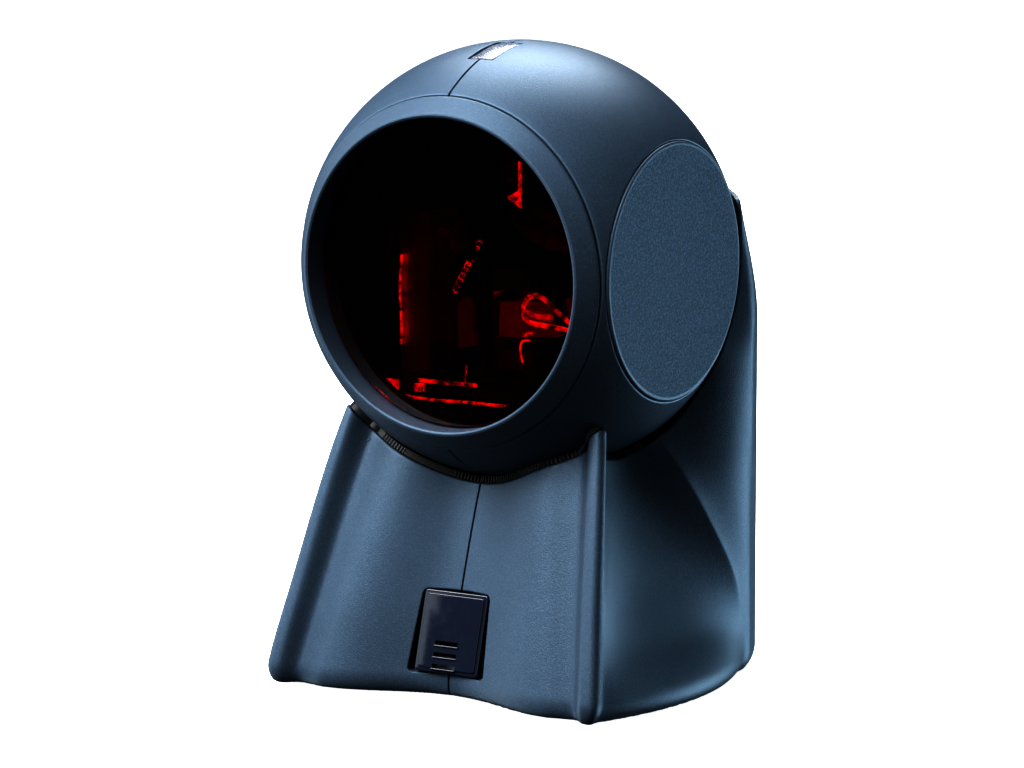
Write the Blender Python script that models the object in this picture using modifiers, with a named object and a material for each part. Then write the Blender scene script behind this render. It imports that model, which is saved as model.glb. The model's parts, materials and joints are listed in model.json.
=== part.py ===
"""Omnidirectional counter-top laser scanner: a tilting globe head in a flared stand.

Metres, +Z up, front towards -Y. The origin is under the middle of the whole object, on the table.
"""

import bmesh
import bpy
from math import atan, cos, pi, radians, sin, sqrt
from mathutils import Matrix, Vector

MM = 0.001

# ---------------------------------------------------------------- driving dimensions, millimetres
HEIGHT = 150.0                      # table to the top of the head
BALL_R = 51.0                       # the head is a sphere of this radius
PIVOT = (0.0, -11.07, HEIGHT - BALL_R)   # centre of the head, on the tilt axis
GAP = 0.3                           # between pieces that touch on the real object

SHELL_T = 2.0                       # wall of the head casing
GROOVE_R, GROOVE_D = 40.7, 30.8     # bezel's outer edge: radius, and distance ahead of the centre
LIP_R, LIP_D = 36.4, 35.5           # bezel's front lip
WINDOW_R, WINDOW_D = 35.4, 29.6     # scan window: radius, and its front face ahead of the centre
WINDOW_T = 1.6
DISC_R, DISC_FACE = 29.7, 41.7      # round inlay on each side: radius, outer face from the middle
DISC_T = 1.2
DISC_CLEAR = 0.6                    # the hood stands back this far from the inlay's edge
DISC_SIDES = 36                     # facets round the inlays and what clears them
SIDE_FLAT = DISC_FACE - DISC_T - GAP    # outer face of the casing under the inlay
STATUS_X, STATUS_Y = 6.2, (-17.3, -4.3)     # status window: width, and front and rear ends

STAND_T = 2.2                       # wall of the stand casing
CRADLE_R, CRADLE_DROP = 52.2, 1.0   # the stand is hollowed to this sphere, a little below the pivot
FOOT_H = 1.0                        # rubber feet
RIM_Z = 0.8                         # lowest edge of the stand casing
SEAM = 0.15                         # half the gap between left and right casings

ARM_X, ARM_T = 33.0, 2.4            # pivot arms: inner face from the middle, thickness
ARM_ANGLE = 50.0                    # degrees below the horizontal, running back and down
ARM_LENGTH = 57.0                   # from the tilt axis to the screw at the arm's foot
HUB_R, ARM_END_R = 7.0, 5.2         # rounding of the arm's two ends
PIN_R = 4.0                         # pivot pins
TILT = 15.0                         # the head tilts this far up and down, degrees

SPIN_AT = (0.0, 4.0, -13.0)         # mirror wheel's centre from the head's centre
BENCH_Z, BENCH_T = -27.0, 2.0       # top of the optical bench from the head's centre, and its thickness
SHELF_AT = (-8.0, BENCH_Z - BENCH_T - GAP)      # ledges under the bench: y and top
LEDGE_HOLE_X = 27.9
LASER = Vector((-20.5, -7.0, 5.0))  # middle of the laser barrel
FOLD_AT = (-1.0, -13.0)             # x and y of the folding mirror's post
MIRROR_RING, MIRROR_STEP, MIRROR_LEAN = 27.0, 36.0, 0.2     # pattern mirrors: radius, degrees apart, lean
DISH_R, DISH_F = 17.5, 60.0         # collector: radius and focal length

PLATE_W, PLATE_H, PLATE_Z = 17.2, 19.0, 15.4    # front plate and the height of its middle
PLATE_T = 2.0
PLATE_LEAN = -0.27                  # it leans back with the stand's front, radians
PLATE_AHEAD = 0.9                   # its middle stands this far ahead of the front's middle line
SOCKET_W, SOCKET_H = 12.4, 9.0      # mouth of the cable socket
SOCKET_Z = 15.0                     # middle of the cable socket above the table
SOCKET_FACE = 61.4                  # its rear face, from the ball's axis
BASE_LOW, BASE_HIGH = FOOT_H + GAP, 3.3     # bottom plate
FEET_AT = ((32.5, -25.0), (25.0, 42.0))     # rubber feet
BOSS_AT = ((38.5, -20.0, 44.0), (32.5, 34.0, 42.4))     # base screw bosses: x, y, and the end of the rib
CASE_SCREWS = ((-16.2, 40.5), (57.2, 62.0))     # y and z of the screws that join the stand's casings
HEAD_SCREWS = ((20.0, 40.9), (12.0, -43.9))     # y and z of the screws that join the head's casings
SCREW_HOLE_R = 1.7

# ---------------------------------------------------------------- the stand's shape
# Each line of keys gives x and y from the ball's vertical axis at heights above the table; the ridge
# has its corner's radius as well. Above its last key a line stays where it is, inside the cradle.
FRONT_Y = ((0, -32.5), (25, -25.6), (48, -17.8), (70, -8.0))
LOBE = ((0, 30.5, -40.6), (25, 25.5, -32.6), (50, 21.0, -23.8), (70, 19.0, -15.0))
GROOVE_AHEAD = 1.3                  # depth of the narrow groove behind the lobe and the ridge
RIDGE = ((0, 44.9, -41.7, 3.6), (6, 45.0, -40.8, 3.5), (25, 42.0, -35.0, 3.1), (50, 38.0, -27.0, 2.6),
         (65, 35.0, -21.4, 2.4), (78, 31.0, -15.5, 2.3))
CREASE = ((0, 45.2, 26.5), (10, 45.8, 25.5), (25, 46.0, 21.0), (40, 43.2, 13.2), (50, 40.0, 8.0),
          (61, 34.0, 4.0), (75, 27.0, 1.0))
SCOOP = ((0, -7.0), (6, -5.6), (16, 0.0), (30, 5.0), (50, 8.0), (65, 6.0), (78, 3.0))
COLUMN_Y, COLUMN_RX, COLUMN_RY = 20.0, 46.0, 43.0   # the rear is half an ellipse about this centre
JOIN_ANGLE = 15.0                   # where the side runs into that ellipse, degrees
SHOULDER_Z = 84.0                   # the rear starts to close over the head here
RIM_SLOPE = 0.20                    # the hood's rim rises towards the back
RIM_Y, RIM_UP = 26.0, 13.0          # a point on the rim, from the head's centre
HOOD_PROUD = 1.9                    # hood's outer face beyond the head at its rim
FOOT_ROUND = ((RIM_Z, 3.0), (1.7, 1.4), (3.3, 0.5), (5.8, 0.0))    # height, and inset there
LEVELS = (13, 24, 35, 45, 52, 58, 64, 72, 84, 94, 103, 111, 117, 122)


def at_height(keys, z):
    """A smooth curve through the keys' values, read at height z."""
    last = len(keys) - 1
    i = max(j for j in range(last) if j == 0 or keys[j][0] <= z)

    def slope(j, k):
        a, b = max(j - 1, 0), min(j + 1, last)
        return (keys[b][k] - keys[a][k]) / (keys[b][0] - keys[a][0])

    span = keys[i + 1][0] - keys[i][0]
    t = min(max((z - keys[i][0]) / span, 0), 1)
    out = []
    for k in range(1, len(keys[0])):
        a, b = keys[i][k], keys[i + 1][k]
        ma, mb = slope(i, k) * span, slope(i + 1, k) * span
        out.append((2 * t ** 3 - 3 * t ** 2 + 1) * a + (t ** 3 - 2 * t ** 2 + t) * ma
                   + (3 * t ** 2 - 2 * t ** 3) * b + (t ** 3 - t ** 2) * mb)
    return out


def ease(t):
    """0 to 1 with level ends."""
    return (1 - cos(pi * t)) / 2


def hood(x, y, z):
    """Draws a point of the rear in over the head, above the shoulder."""
    reach = sqrt(x * x + y * y)
    up = z - PIVOT[2]
    rim_up = RIM_UP + RIM_SLOPE * (max(y, 10) - RIM_Y) * 0.8
    t = (z - SHOULDER_Z) / (PIVOT[2] + rim_up - SHOULDER_Z)
    if t <= 0 or up < -BALL_R:
        return x, y
    rim_reach = sqrt((BALL_R + HOOD_PROUD) ** 2 - rim_up ** 2)
    k = (reach - (reach - rim_reach) * t ** 1.7) / reach
    return x * k, y * k


def half_section(z, front=6, scoop=4, rear=6, ridge=True):
    """Right half of the stand's outline at height z, from the front's middle to the back's.

    The inside of the wall passes behind the ridge, which is solid.
    """
    front_y = at_height(FRONT_Y, z)[0]
    lobe_x, lobe_y = at_height(LOBE, z)
    ridge_x, ridge_y, ridge_r = at_height(RIDGE, z)
    crease_x, crease_y = at_height(CREASE, z)
    bow = at_height(SCOOP, z)[0]
    ridge_in = ridge_x - ridge_r
    groove_x = lobe_x + 0.62 * (ridge_in - lobe_x)
    groove_y = max(lobe_y, ridge_y) + GROOVE_AHEAD
    points = [(lobe_x * i / front, front_y + (lobe_y - front_y) * ease(i / front)) for i in range(front)]
    steps = max(2, front // 3)
    slopes = ((lobe_x, lobe_y, groove_x, groove_y), (groove_x, groove_y, ridge_in, ridge_y))
    for x0, y0, x1, y1 in slopes if ridge else slopes[:1]:
        points += [(x0 + (x1 - x0) * i / steps, y0 + (y1 - y0) * ease(i / steps)) for i in range(steps)]
    turns = steps if ridge else 0
    for i in range(turns):
        a = pi / 2 * i / turns
        points.append((ridge_in + ridge_r * sin(a), ridge_y + ridge_r * (1 - cos(a))))
    start_y = ridge_y + ridge_r
    for i in range(0 if ridge else 1, scoop):
        t = i / scoop
        points.append((ridge_x + (crease_x - ridge_x) * t - 4 * t * (1 - t) * bow,
                       start_y + (crease_y - start_y) * t))
    join = radians(JOIN_ANGLE)
    join_x, join_y = COLUMN_RX * cos(join), COLUMN_Y + COLUMN_RY * sin(join)
    side = max(2, rear // 3)
    chord = Vector((join_x - crease_x, join_y - crease_y))
    for i in range(side):
        t = i / side
        out = 4 * t * (1 - t) * 0.09
        points.append((crease_x + chord.x * t + chord.y * out, crease_y + chord.y * t - chord.x * out))
    for i in range(rear + 1):
        a = join + (pi / 2 - join) * i / rear
        points.append((COLUMN_RX * cos(a), COLUMN_Y + COLUMN_RY * sin(a)))
    points[-1] = (0.0, points[-1][1])
    first_rear = len(points) - rear - 1 - side
    return [hood(x, y, z) if i > first_rear else (x, y) for i, (x, y) in enumerate(points)]


def inset(points, depth):
    """The half outline moved inwards by a distance, its ends kept on the middle plane."""
    moved = []
    for i, (x, y) in enumerate(points):
        ax, ay = points[i - 1] if i else (-points[1][0], points[1][1])
        bx, by = points[i + 1] if i + 1 < len(points) else (-points[-2][0], points[-2][1])
        along = Vector((bx - ax, by - ay)).normalized()
        moved.append((max(x - along.y * depth, 0.0), y + along.x * depth))
    moved[0] = (0.0, moved[0][1])
    moved[-1] = (0.0, moved[-1][1])
    return moved


def full_section(half):
    """A closed outline, anticlockwise from above: the right half, then its mirror image."""
    return half + [(-x, y) for x, y in reversed(half[1:-1])]


# ---------------------------------------------------------------- scene, collections, materials
for thing in list(bpy.data.objects):
    bpy.data.objects.remove(thing, do_unlink=True)
for old in list(bpy.data.collections):
    bpy.data.collections.remove(old)

PARTS = bpy.data.collections.new("globe_scanner")
CUTTERS = bpy.data.collections.new("cutters")
bpy.context.scene.collection.children.link(PARTS)
bpy.context.scene.collection.children.link(CUTTERS)


def empty(name, place, parent=None):
    """An axis marker in millimetres, relative to its parent."""
    marker = bpy.data.objects.new(name, None)
    marker.location = Vector(place) * MM
    marker.parent = parent
    PARTS.objects.link(marker)
    return marker


STAND_FRAME = empty("stand_frame", (PIVOT[0], PIVOT[1], 0))
TILT_AXIS = empty("tilt_axis", PIVOT)
SPIN_AXIS = empty("spin_axis", SPIN_AT, TILT_AXIS)

FINISHES = {                        # colour, roughness, metallic
    "slate": ((0.045, 0.075, 0.115), 0.45, 0.0),
    "speckled": ((0.05, 0.08, 0.13), 0.75, 0.0),
    "gloss_black": ((0.008, 0.009, 0.014), 0.12, 0.0),
    "dark_red": ((0.10, 0.004, 0.006), 0.08, 0.0),
    "clear": ((0.80, 0.83, 0.85), 0.10, 0.0),
    "black": ((0.015, 0.015, 0.018), 0.60, 0.0),
    "rubber": ((0.02, 0.02, 0.02), 0.85, 0.0),
    "mirror": ((0.85, 0.86, 0.88), 0.04, 1.0),
    "steel": ((0.45, 0.46, 0.48), 0.35, 1.0),
    "aluminium": ((0.70, 0.71, 0.73), 0.40, 1.0),
    "brass": ((0.75, 0.58, 0.28), 0.30, 1.0),
    "board": ((0.02, 0.14, 0.06), 0.50, 0.0),
    "cream": ((0.75, 0.74, 0.70), 0.50, 0.0),
    "red_filter": ((0.35, 0.01, 0.01), 0.10, 0.0),
}


def finish(obj, kind):
    """Gives the object a material of its own."""
    colour, rough, metal = FINISHES[kind]
    material = bpy.data.materials.new(obj.name)
    material.use_nodes = True
    shader = material.node_tree.nodes["Principled BSDF"]
    shader.inputs["Base Color"].default_value = (*colour, 1.0)
    shader.inputs["Roughness"].default_value = rough
    shader.inputs["Metallic"].default_value = metal
    material.diffuse_color = (*colour, 1.0)
    obj.data.materials.clear()
    obj.data.materials.append(material)


def add(name, mesh_or_bm, parent, kind=None, place=(0, 0, 0), turn=None):
    """Makes an object from a bmesh in millimetres; with no finish it is a cutter."""
    mesh = bpy.data.meshes.new(name)
    bmesh.ops.scale(mesh_or_bm, vec=(MM, MM, MM), verts=mesh_or_bm.verts)
    mesh_or_bm.normal_update()
    mesh_or_bm.to_mesh(mesh)
    mesh_or_bm.free()
    obj = bpy.data.objects.new(name, mesh)
    obj.parent = parent
    obj.location = Vector(place) * MM
    if turn is not None:
        obj.rotation_euler = turn
    if kind is None:
        CUTTERS.objects.link(obj)
        obj.hide_render = True
        obj.display_type = "WIRE"
    else:
        PARTS.objects.link(obj)
        finish(obj, kind)
    return obj


def block(size, at=(0, 0, 0)):
    """A box's bmesh."""
    bm = bmesh.new()
    bmesh.ops.create_cube(bm, size=1.0)
    bmesh.ops.scale(bm, vec=size, verts=bm.verts)
    bmesh.ops.translate(bm, vec=at, verts=bm.verts)
    return bm


AIM = {
    "z": Matrix.Identity(4),
    "x": Matrix.Rotation(pi / 2, 4, "Y"),
    "front": Matrix.Rotation(pi / 2, 4, "X"),
}


def rod(radius, length, axis="z", at=(0, 0, 0), sides=20):
    """A cylinder's bmesh, centred, along z, x or the front-back line."""
    bm = bmesh.new()
    bmesh.ops.create_cone(bm, cap_ends=True, segments=sides, radius1=radius, radius2=radius, depth=length)
    bmesh.ops.transform(bm, matrix=Matrix.Translation(at) @ AIM[axis], verts=bm.verts)
    return bm


def ball(radius, segments, rings, at=(0, 0, 0), aim="front"):
    """A sphere's bmesh with its poles along the given line."""
    bm = bmesh.new()
    bmesh.ops.create_uvsphere(bm, u_segments=segments, v_segments=rings, radius=radius)
    bmesh.ops.transform(bm, matrix=Matrix.Translation(at) @ AIM[aim], verts=bm.verts)
    return bm


def cut(obj, *cutters, operation="DIFFERENCE"):
    """Adds one exact Boolean for each cutter."""
    for cutter in cutters:
        modifier = obj.modifiers.new(cutter.name, "BOOLEAN")
        modifier.operation = operation
        modifier.solver = "EXACT"
        modifier.object = cutter


def turned(name, profile, parent, kind=None, steps=32, place=(0, 0, 0), turn=None):
    """Turns a closed outline of (radius, height) points about the local z axis."""
    bm = bmesh.new()
    ring = [bm.verts.new((r, 0, z)) for r, z in profile]
    for a, b in zip(ring, ring[1:] + ring[:1]):
        bm.edges.new((a, b))
    obj = add(name, bm, parent, kind, place, turn)
    screw(obj, steps)
    return obj


def screw(obj, steps):
    """One full turn about z."""
    modifier = obj.modifiers.new("turn", "SCREW")
    modifier.steps = modifier.render_steps = steps
    modifier.use_merge_vertices = True
    modifier.merge_threshold = 0.00001
    modifier.use_smooth_shade = True


TO_FRONT = (pi / 2, 0, 0)           # local +Z becomes the front, -Y


def prism(name, outline, low, high, parent, kind=None, turn=None, place=(0, 0, 0)):
    """A flat outline given a thickness, as a mesh with its base at height low."""
    curve = bpy.data.curves.new(name, "CURVE")
    curve.dimensions = "2D"
    curve.fill_mode = "BOTH"
    curve.extrude = (high - low) / 2 * MM
    spline = curve.splines.new("POLY")
    spline.points.add(len(outline) - 1)
    for point, (x, y) in zip(spline.points, outline):
        point.co = (x * MM, y * MM, 0, 1)
    spline.use_cyclic_u = True
    source = bpy.data.objects.new(name + "_curve", curve)
    bpy.context.scene.collection.objects.link(source)
    mesh = bpy.data.meshes.new_from_object(source.evaluated_get(bpy.context.evaluated_depsgraph_get()))
    bpy.data.objects.remove(source, do_unlink=True)
    bm = bmesh.new()
    bm.from_mesh(mesh)
    bpy.data.meshes.remove(mesh)
    bmesh.ops.remove_doubles(bm, verts=bm.verts, dist=1e-6)
    bmesh.ops.recalc_face_normals(bm, faces=bm.faces)
    bmesh.ops.scale(bm, vec=(1 / MM, 1 / MM, 1 / MM), verts=bm.verts)
    bmesh.ops.translate(bm, vec=(0, 0, (low + high) / 2), verts=bm.verts)
    return add(name, bm, parent, kind, place, turn)


def capsule(length, r_start, r_end, sides=8):
    """Outline round two circles on the x axis, length apart."""
    points = []
    for centre, r, start in ((length, r_end, -pi / 2), (0.0, r_start, pi / 2)):
        points += [(centre + r * cos(start + pi * i / sides), r * sin(start + pi * i / sides))
                   for i in range(sides + 1)]
    return points


def wire(name, route, radius, parent, kind):
    """A round lead through the route's points."""
    curve = bpy.data.curves.new(name, "CURVE")
    curve.dimensions = "3D"
    curve.bevel_depth = radius * MM
    curve.bevel_resolution = 2
    curve.use_fill_caps = True
    spline = curve.splines.new("POLY")
    points = smooth_route(route)
    spline.points.add(len(points) - 1)
    for point, co in zip(spline.points, points):
        point.co = (*(co * MM), 1)
    obj = bpy.data.objects.new(name, curve)
    obj.parent = parent
    PARTS.objects.link(obj)
    finish(obj, kind)
    return obj


def smooth_route(route, between=2):
    """Points on a Catmull-Rom curve through the route."""
    route = [Vector(p) for p in route]
    ends = [2 * route[0] - route[1]] + route + [2 * route[-1] - route[-2]]
    points = []
    for a, b, c, d in zip(ends, ends[1:], ends[2:], ends[3:]):
        for i in range(between):
            t = i / between
            points.append(0.5 * (2 * b + (c - a) * t + (2 * a - 5 * b + 4 * c - d) * t ** 2
                                 + (3 * b - a - 3 * c + d) * t ** 3))
    return points + [route[-1]]


def mirrored(name, source):
    """The same piece for the other side of the middle plane, from the finished right one."""
    mesh = bpy.data.meshes.new_from_object(source.evaluated_get(bpy.context.evaluated_depsgraph_get()))
    bm = bmesh.new()
    bm.from_mesh(mesh)
    bpy.data.meshes.remove(mesh)
    bmesh.ops.scale(bm, vec=(-1 / MM, 1 / MM, 1 / MM), verts=bm.verts)
    bmesh.ops.reverse_faces(bm, faces=bm.faces)
    return add(name, bm, source.parent, "slate")


SIDES = (("left", -1), ("right", 1))

# ---------------------------------------------------------------- stand casing
def stand_loft(inwards=0.0, below=0.0):
    """A loft through the stand's outlines, moved inwards by a wall and carried on below the rim."""
    levels = [(z, depth + inwards) for z, depth in FOOT_ROUND] + [(z, inwards) for z in LEVELS]
    halves = [(inset(half_section(z, ridge=not inwards), depth), z) for z, depth in levels]
    bm = bmesh.new()
    loops = [[bm.verts.new((x, y, z)) for x, y in full_section(half)] for half, z in halves]
    if below:
        loops.insert(0, [bm.verts.new(vert.co - Vector((0, 0, below))) for vert in loops[0]])
    for low, high in zip(loops, loops[1:]):
        for i in range(len(low)):
            j = (i + 1) % len(low)
            bm.faces.new((low[i], low[j], high[j], high[i]))
    bm.faces.new(list(reversed(loops[0])))
    bm.faces.new(loops[-1])
    return bm


def stand_cutters():
    """What is taken out of the right casing, besides its hollow."""
    over = Vector((0, RIM_Y, PIVOT[2] + RIM_UP)) + Vector((0, -RIM_SLOPE, 1)).normalized() * 40
    return [
        add("cradle", ball(CRADLE_R, 32, 22), STAND_FRAME, place=(0, 0, PIVOT[2] - CRADLE_DROP)),
        add("above_rim", block((160, 200, 80)), STAND_FRAME, place=over, turn=(atan(RIM_SLOPE), 0, 0)),
        add("plate_window", block((PLATE_W + 2 * GAP, 14, PLATE_H + 2 * GAP)), STAND_FRAME,
            place=PLATE_AT, turn=(PLATE_LEAN, 0, 0)),
        add("socket_window", block((17, 14, 14)), STAND_FRAME, place=(0, 60, SOCKET_Z)),
        add("disc_clear", rod(DISC_R + DISC_CLEAR, 24, "x", (48, 0, PIVOT[2]), DISC_SIDES), STAND_FRAME),
    ]


PLATE_AT = (0, at_height(FRONT_Y, PLATE_Z)[0] - PLATE_AHEAD, PLATE_Z)
down = radians(ARM_ANGLE)
ARM_FOOT = Vector((0, cos(down), -sin(down))) * ARM_LENGTH      # from the head's centre

shell = add("stand_shell_right", stand_loft(), STAND_FRAME, "slate")
cut(shell, add("stand_other_side", block((90, 160, 300), (SEAM - 45, 0, 60)), STAND_FRAME),
    add("stand_hollow", stand_loft(STAND_T, 5.0), STAND_FRAME), *stand_cutters())
inner = []
for i, (x, y, rib) in enumerate(BOSS_AT):
    inner.append(add(f"base_boss_{i}", rod(3.4, 10, at=(x, y, 8.6), sides=12), STAND_FRAME))
    inner.append(add(f"base_boss_rib_{i}", block((rib - x, 2, 7), ((x + rib) / 2, y, 10.0)), STAND_FRAME))
for i, (y, z) in enumerate(CASE_SCREWS):
    inner.append(add(f"case_boss_{i}", rod(3.3, 7, "x", (3.65, y, z), 12), STAND_FRAME))
lug_y, lug_z = ARM_FOOT.y, PIVOT[2] + ARM_FOOT.z
inner.append(add("arm_lug", block((4.4, 9, 9), (ARM_X + ARM_T + 0.3 + 2.2, lug_y, lug_z)), STAND_FRAME))
cut(shell, *inner, operation="UNION")
holes = []
for i, (x, y, _) in enumerate(BOSS_AT):
    holes.append(add(f"base_boss_hole_{i}", rod(SCREW_HOLE_R, 10, at=(x, y, 6.5), sides=12), STAND_FRAME))
for i, (y, z) in enumerate(CASE_SCREWS):
    holes.append(add(f"case_hole_{i}", rod(SCREW_HOLE_R, 30, "x", (0, y, z), 12), STAND_FRAME))
holes.append(add("lug_hole", rod(1.5, 7, "x", (ARM_X + ARM_T + 1.0, lug_y, lug_z), 12), STAND_FRAME))
cut(shell, *holes)
mirrored("stand_shell_left", shell)

# ---------------------------------------------------------------- base
BASE_INSET = 5.3                    # inside the stand's outline just above the foot's rounding
base = prism("bottom_plate", full_section(inset(half_section(FOOT_ROUND[-1][0], ridge=False), BASE_INSET)),
             BASE_LOW, BASE_HIGH, STAND_FRAME, "black")
for side, sign in SIDES:
    for where, (x, y) in zip(("front", "rear"), FEET_AT):
        turned(f"rubber_foot_{where}_{side}", [(0, FOOT_H), (5.2, FOOT_H), (5.2, 0.3), (4.9, 0), (0, 0)],
               STAND_FRAME, "rubber", 16, (sign * x, y, 0))
    for where, (x, y, _) in zip(("front", "rear"), BOSS_AT):
        screw_outline = [(0, 10.5), (1.3, 10.5), (1.3, 3.5), (2.6, 3.1), (2.6, 1.6), (0, 1.6)]
        turned(f"base_screw_{where}_{side}", screw_outline, STAND_FRAME, "steel", 12, (sign * x, y, 0))
        cut(base, add(f"base_hole_{where}_{side}", rod(3.0, 6, at=(sign * x, y, 2.3), sides=12), STAND_FRAME))
prism("ballast_plate", capsule(18, 22, 26), 3.7, 8.7, STAND_FRAME, "steel", (0, 0, pi / 2), (0, -4, 0))

# ---------------------------------------------------------------- front plate, speaker, boards in the stand
plate = add("front_plate", block((PLATE_W, PLATE_T, PLATE_H)), STAND_FRAME, "gloss_black", PLATE_AT,
            (PLATE_LEAN, 0, 0))
for i in range(3):
    cut(plate, add(f"louvre_{i}", block((6.0, 8, 0.8), (-0.6, 0, -2.6 - 2.7 * i)), STAND_FRAME,
                   place=PLATE_AT, turn=(PLATE_LEAN, 0, 0)))
turned("speaker", [(0, 4), (3.5, 4), (4.5, 1.2), (8.0, 0), (8.0, -1.2), (5, -4.5), (5, -7), (0, -7)],
       STAND_FRAME, "black", 20, (0, PLATE_AT[1] + 8.3, PLATE_Z + 3.0), (pi / 2 + PLATE_LEAN, 0, 0))

socket = add("cable_socket", block((16, 16, 13)), STAND_FRAME, "black", (0, SOCKET_FACE - 8, SOCKET_Z))
cut(socket, add("socket_mouth", block((SOCKET_W, 24, SOCKET_H)), STAND_FRAME,
                place=(0, SOCKET_FACE, SOCKET_Z)),
    add("socket_latch", block((4, 24, 3)), STAND_FRAME, place=(0, SOCKET_FACE, SOCKET_Z - SOCKET_H / 2)))
add("interface_board", block((40, 40, 1.6)), STAND_FRAME, "board", (0, 22, 10.2))

# ---------------------------------------------------------------- pivot arms, washers, pins
# the arm's outline lies in local x-y, with x running down the arm and z along the tilt axis
lie = Matrix(((0, 0, 1), (cos(down), sin(down), 0), (-sin(down), cos(down), 0))).to_euler()
WASHER_T = 0.6
washer_at = ARM_X + ARM_T + GAP
flange = washer_at + WASHER_T + GAP
pin_ends = (ARM_X + 0.2 - flange, 40.0 - flange)
for side, sign in SIDES:
    low = ARM_X if sign > 0 else -ARM_X - ARM_T
    arm = prism(f"pivot_arm_{side}", capsule(ARM_LENGTH, HUB_R, ARM_END_R), low, low + ARM_T, STAND_FRAME,
                "aluminium", lie, (0, 0, PIVOT[2]))
    middle = sign * (ARM_X + ARM_T / 2)
    hub_hole = rod(PIN_R + 0.15, 8, "x", sides=20)
    foot_hole = rod(1.5, 8, "x", sides=12)
    cut(arm, add(f"hub_hole_{side}", hub_hole, STAND_FRAME, place=(middle, 0, PIVOT[2])),
        add(f"foot_hole_{side}", foot_hole, STAND_FRAME, place=(middle, lug_y, lug_z)))
    turned(f"arm_screw_{side}", [(0, 1.2), (2.4, 1.2), (2.4, 0), (1.2, 0), (1.2, -5.5), (0, -5.5)],
           STAND_FRAME, "steel", 12, (sign * (ARM_X - 0.2), lug_y, lug_z), (0, -sign * pi / 2, 0))
    turned(f"friction_washer_{side}", [(HUB_R - 0.5, WASHER_T), (HUB_R - 0.5, 0), (PIN_R + 0.4, 0),
                                       (PIN_R + 0.4, WASHER_T)],
           STAND_FRAME, "brass", 16, (sign * washer_at, 0, PIVOT[2]), (0, sign * pi / 2, 0))
    turned(f"pivot_pin_{side}", [(0, pin_ends[1]), (PIN_R, pin_ends[1]), (PIN_R, 1.3), (6.5, 1.3), (6.5, 0),
                                 (PIN_R, 0), (PIN_R, pin_ends[0]), (0, pin_ends[0])],
           TILT_AXIS, "steel", 20, (sign * flange, 0, 0), (0, sign * pi / 2, 0))

# ---------------------------------------------------------------- head casing
def head_cavity():
    """The inside of the head: a sphere with a flat on each side."""
    bm = ball(BALL_R - SHELL_T, 26, 16)
    for vert in bm.verts:
        vert.co.x = max(min(vert.co.x, SIDE_FLAT - SHELL_T), SHELL_T - SIDE_FLAT)
    return bm


MOUTH_R = 38.4                      # opening of the casing behind the bezel
reach = radians(TILT + 11)          # the slot clears the arm over the whole tilt
sector = [(60 * cos(reach * k - down), 60 * sin(reach * k - down)) for k in (-1, -0.33, 0.33, 1)]
sector += [(30 * cos(reach * k - down), 30 * sin(reach * k - down)) for k in (1, 0.33, -0.33, -1)]
upright = Matrix(((0, 0, 1), (1, 0, 0), (0, 1, 0))).to_euler()      # local x-y becomes y-z
head_cutters = [
    add("cavity", head_cavity(), TILT_AXIS),
    add("ahead_of_groove", block((140, 60, 140), (0, -GROOVE_D - 0.1 - 30, 0)), TILT_AXIS),
    add("mouth", rod(MOUTH_R, 12, "front", (0, -GROOVE_D, 0), 36), TILT_AXIS),
    add("status_hole", block((STATUS_X + 2 * GAP, STATUS_Y[1] - STATUS_Y[0] + 2 * GAP, 20),
                             (0, sum(STATUS_Y) / 2, 50)), TILT_AXIS),
]
shell = add("head_shell_right", ball(BALL_R, 36, 24), TILT_AXIS, "slate")
cut(shell, add("head_other_side", block((90, 160, 160), (SEAM - 45, 0, 0)), TILT_AXIS), *head_cutters,
    add("disc_seat", rod(DISC_R + GAP, 12, "x", (SIDE_FLAT + 6, 0, 0), DISC_SIDES), TILT_AXIS),
    add("pin_hole", rod(PIN_R + 0.3, 10, "x", (39, 0, 0), 20), TILT_AXIS),
    prism("arm_slot", sector, 30.0, 36.4, TILT_AXIS, None, upright))
inner = []
holes = []
for i, (y, z) in enumerate(HEAD_SCREWS):
    inner.append(add(f"head_boss_{i}", rod(4.2, 7, "x", (3.65, y, z), 16), TILT_AXIS))
    holes.append(add(f"head_hole_{i}", rod(SCREW_HOLE_R, 30, "x", (0, y, z), 12), TILT_AXIS))
inner.append(add("bench_ledge", block((10.4, 8, 4), (31.3, SHELF_AT[0], SHELF_AT[1] - 2)), TILT_AXIS))
cut(shell, *inner, operation="UNION")
holes.append(add("ledge_hole", rod(1.4, 9, at=(LEDGE_HOLE_X, *SHELF_AT), sides=12), TILT_AXIS))
cut(shell, *holes)
mirrored("head_shell_left", shell)
for side, sign in SIDES:
    outline = [(0, DISC_T), (DISC_R - 0.5, DISC_T), (DISC_R, DISC_T - 0.4), (DISC_R, 0), (0, 0)]
    turned(f"side_disc_{side}", outline, TILT_AXIS, "speckled", DISC_SIDES,
           (sign * (SIDE_FLAT + GAP), 0, 0), (0, sign * pi / 2, 0))
for parent, places, where in ((TILT_AXIS, HEAD_SCREWS, "head"), (STAND_FRAME, CASE_SCREWS, "stand")):
    for i, (y, z) in enumerate(places):
        outline = [(0, 9.0), (2.1, 9.0), (2.1, 7.6), (1.3, 7.4), (1.3, -6.5), (0, -6.5)]
        turned(f"{where}_case_screw_{i + 1}", outline, parent, "steel", 12, (0, y, z), (0, pi / 2, 0))

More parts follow.
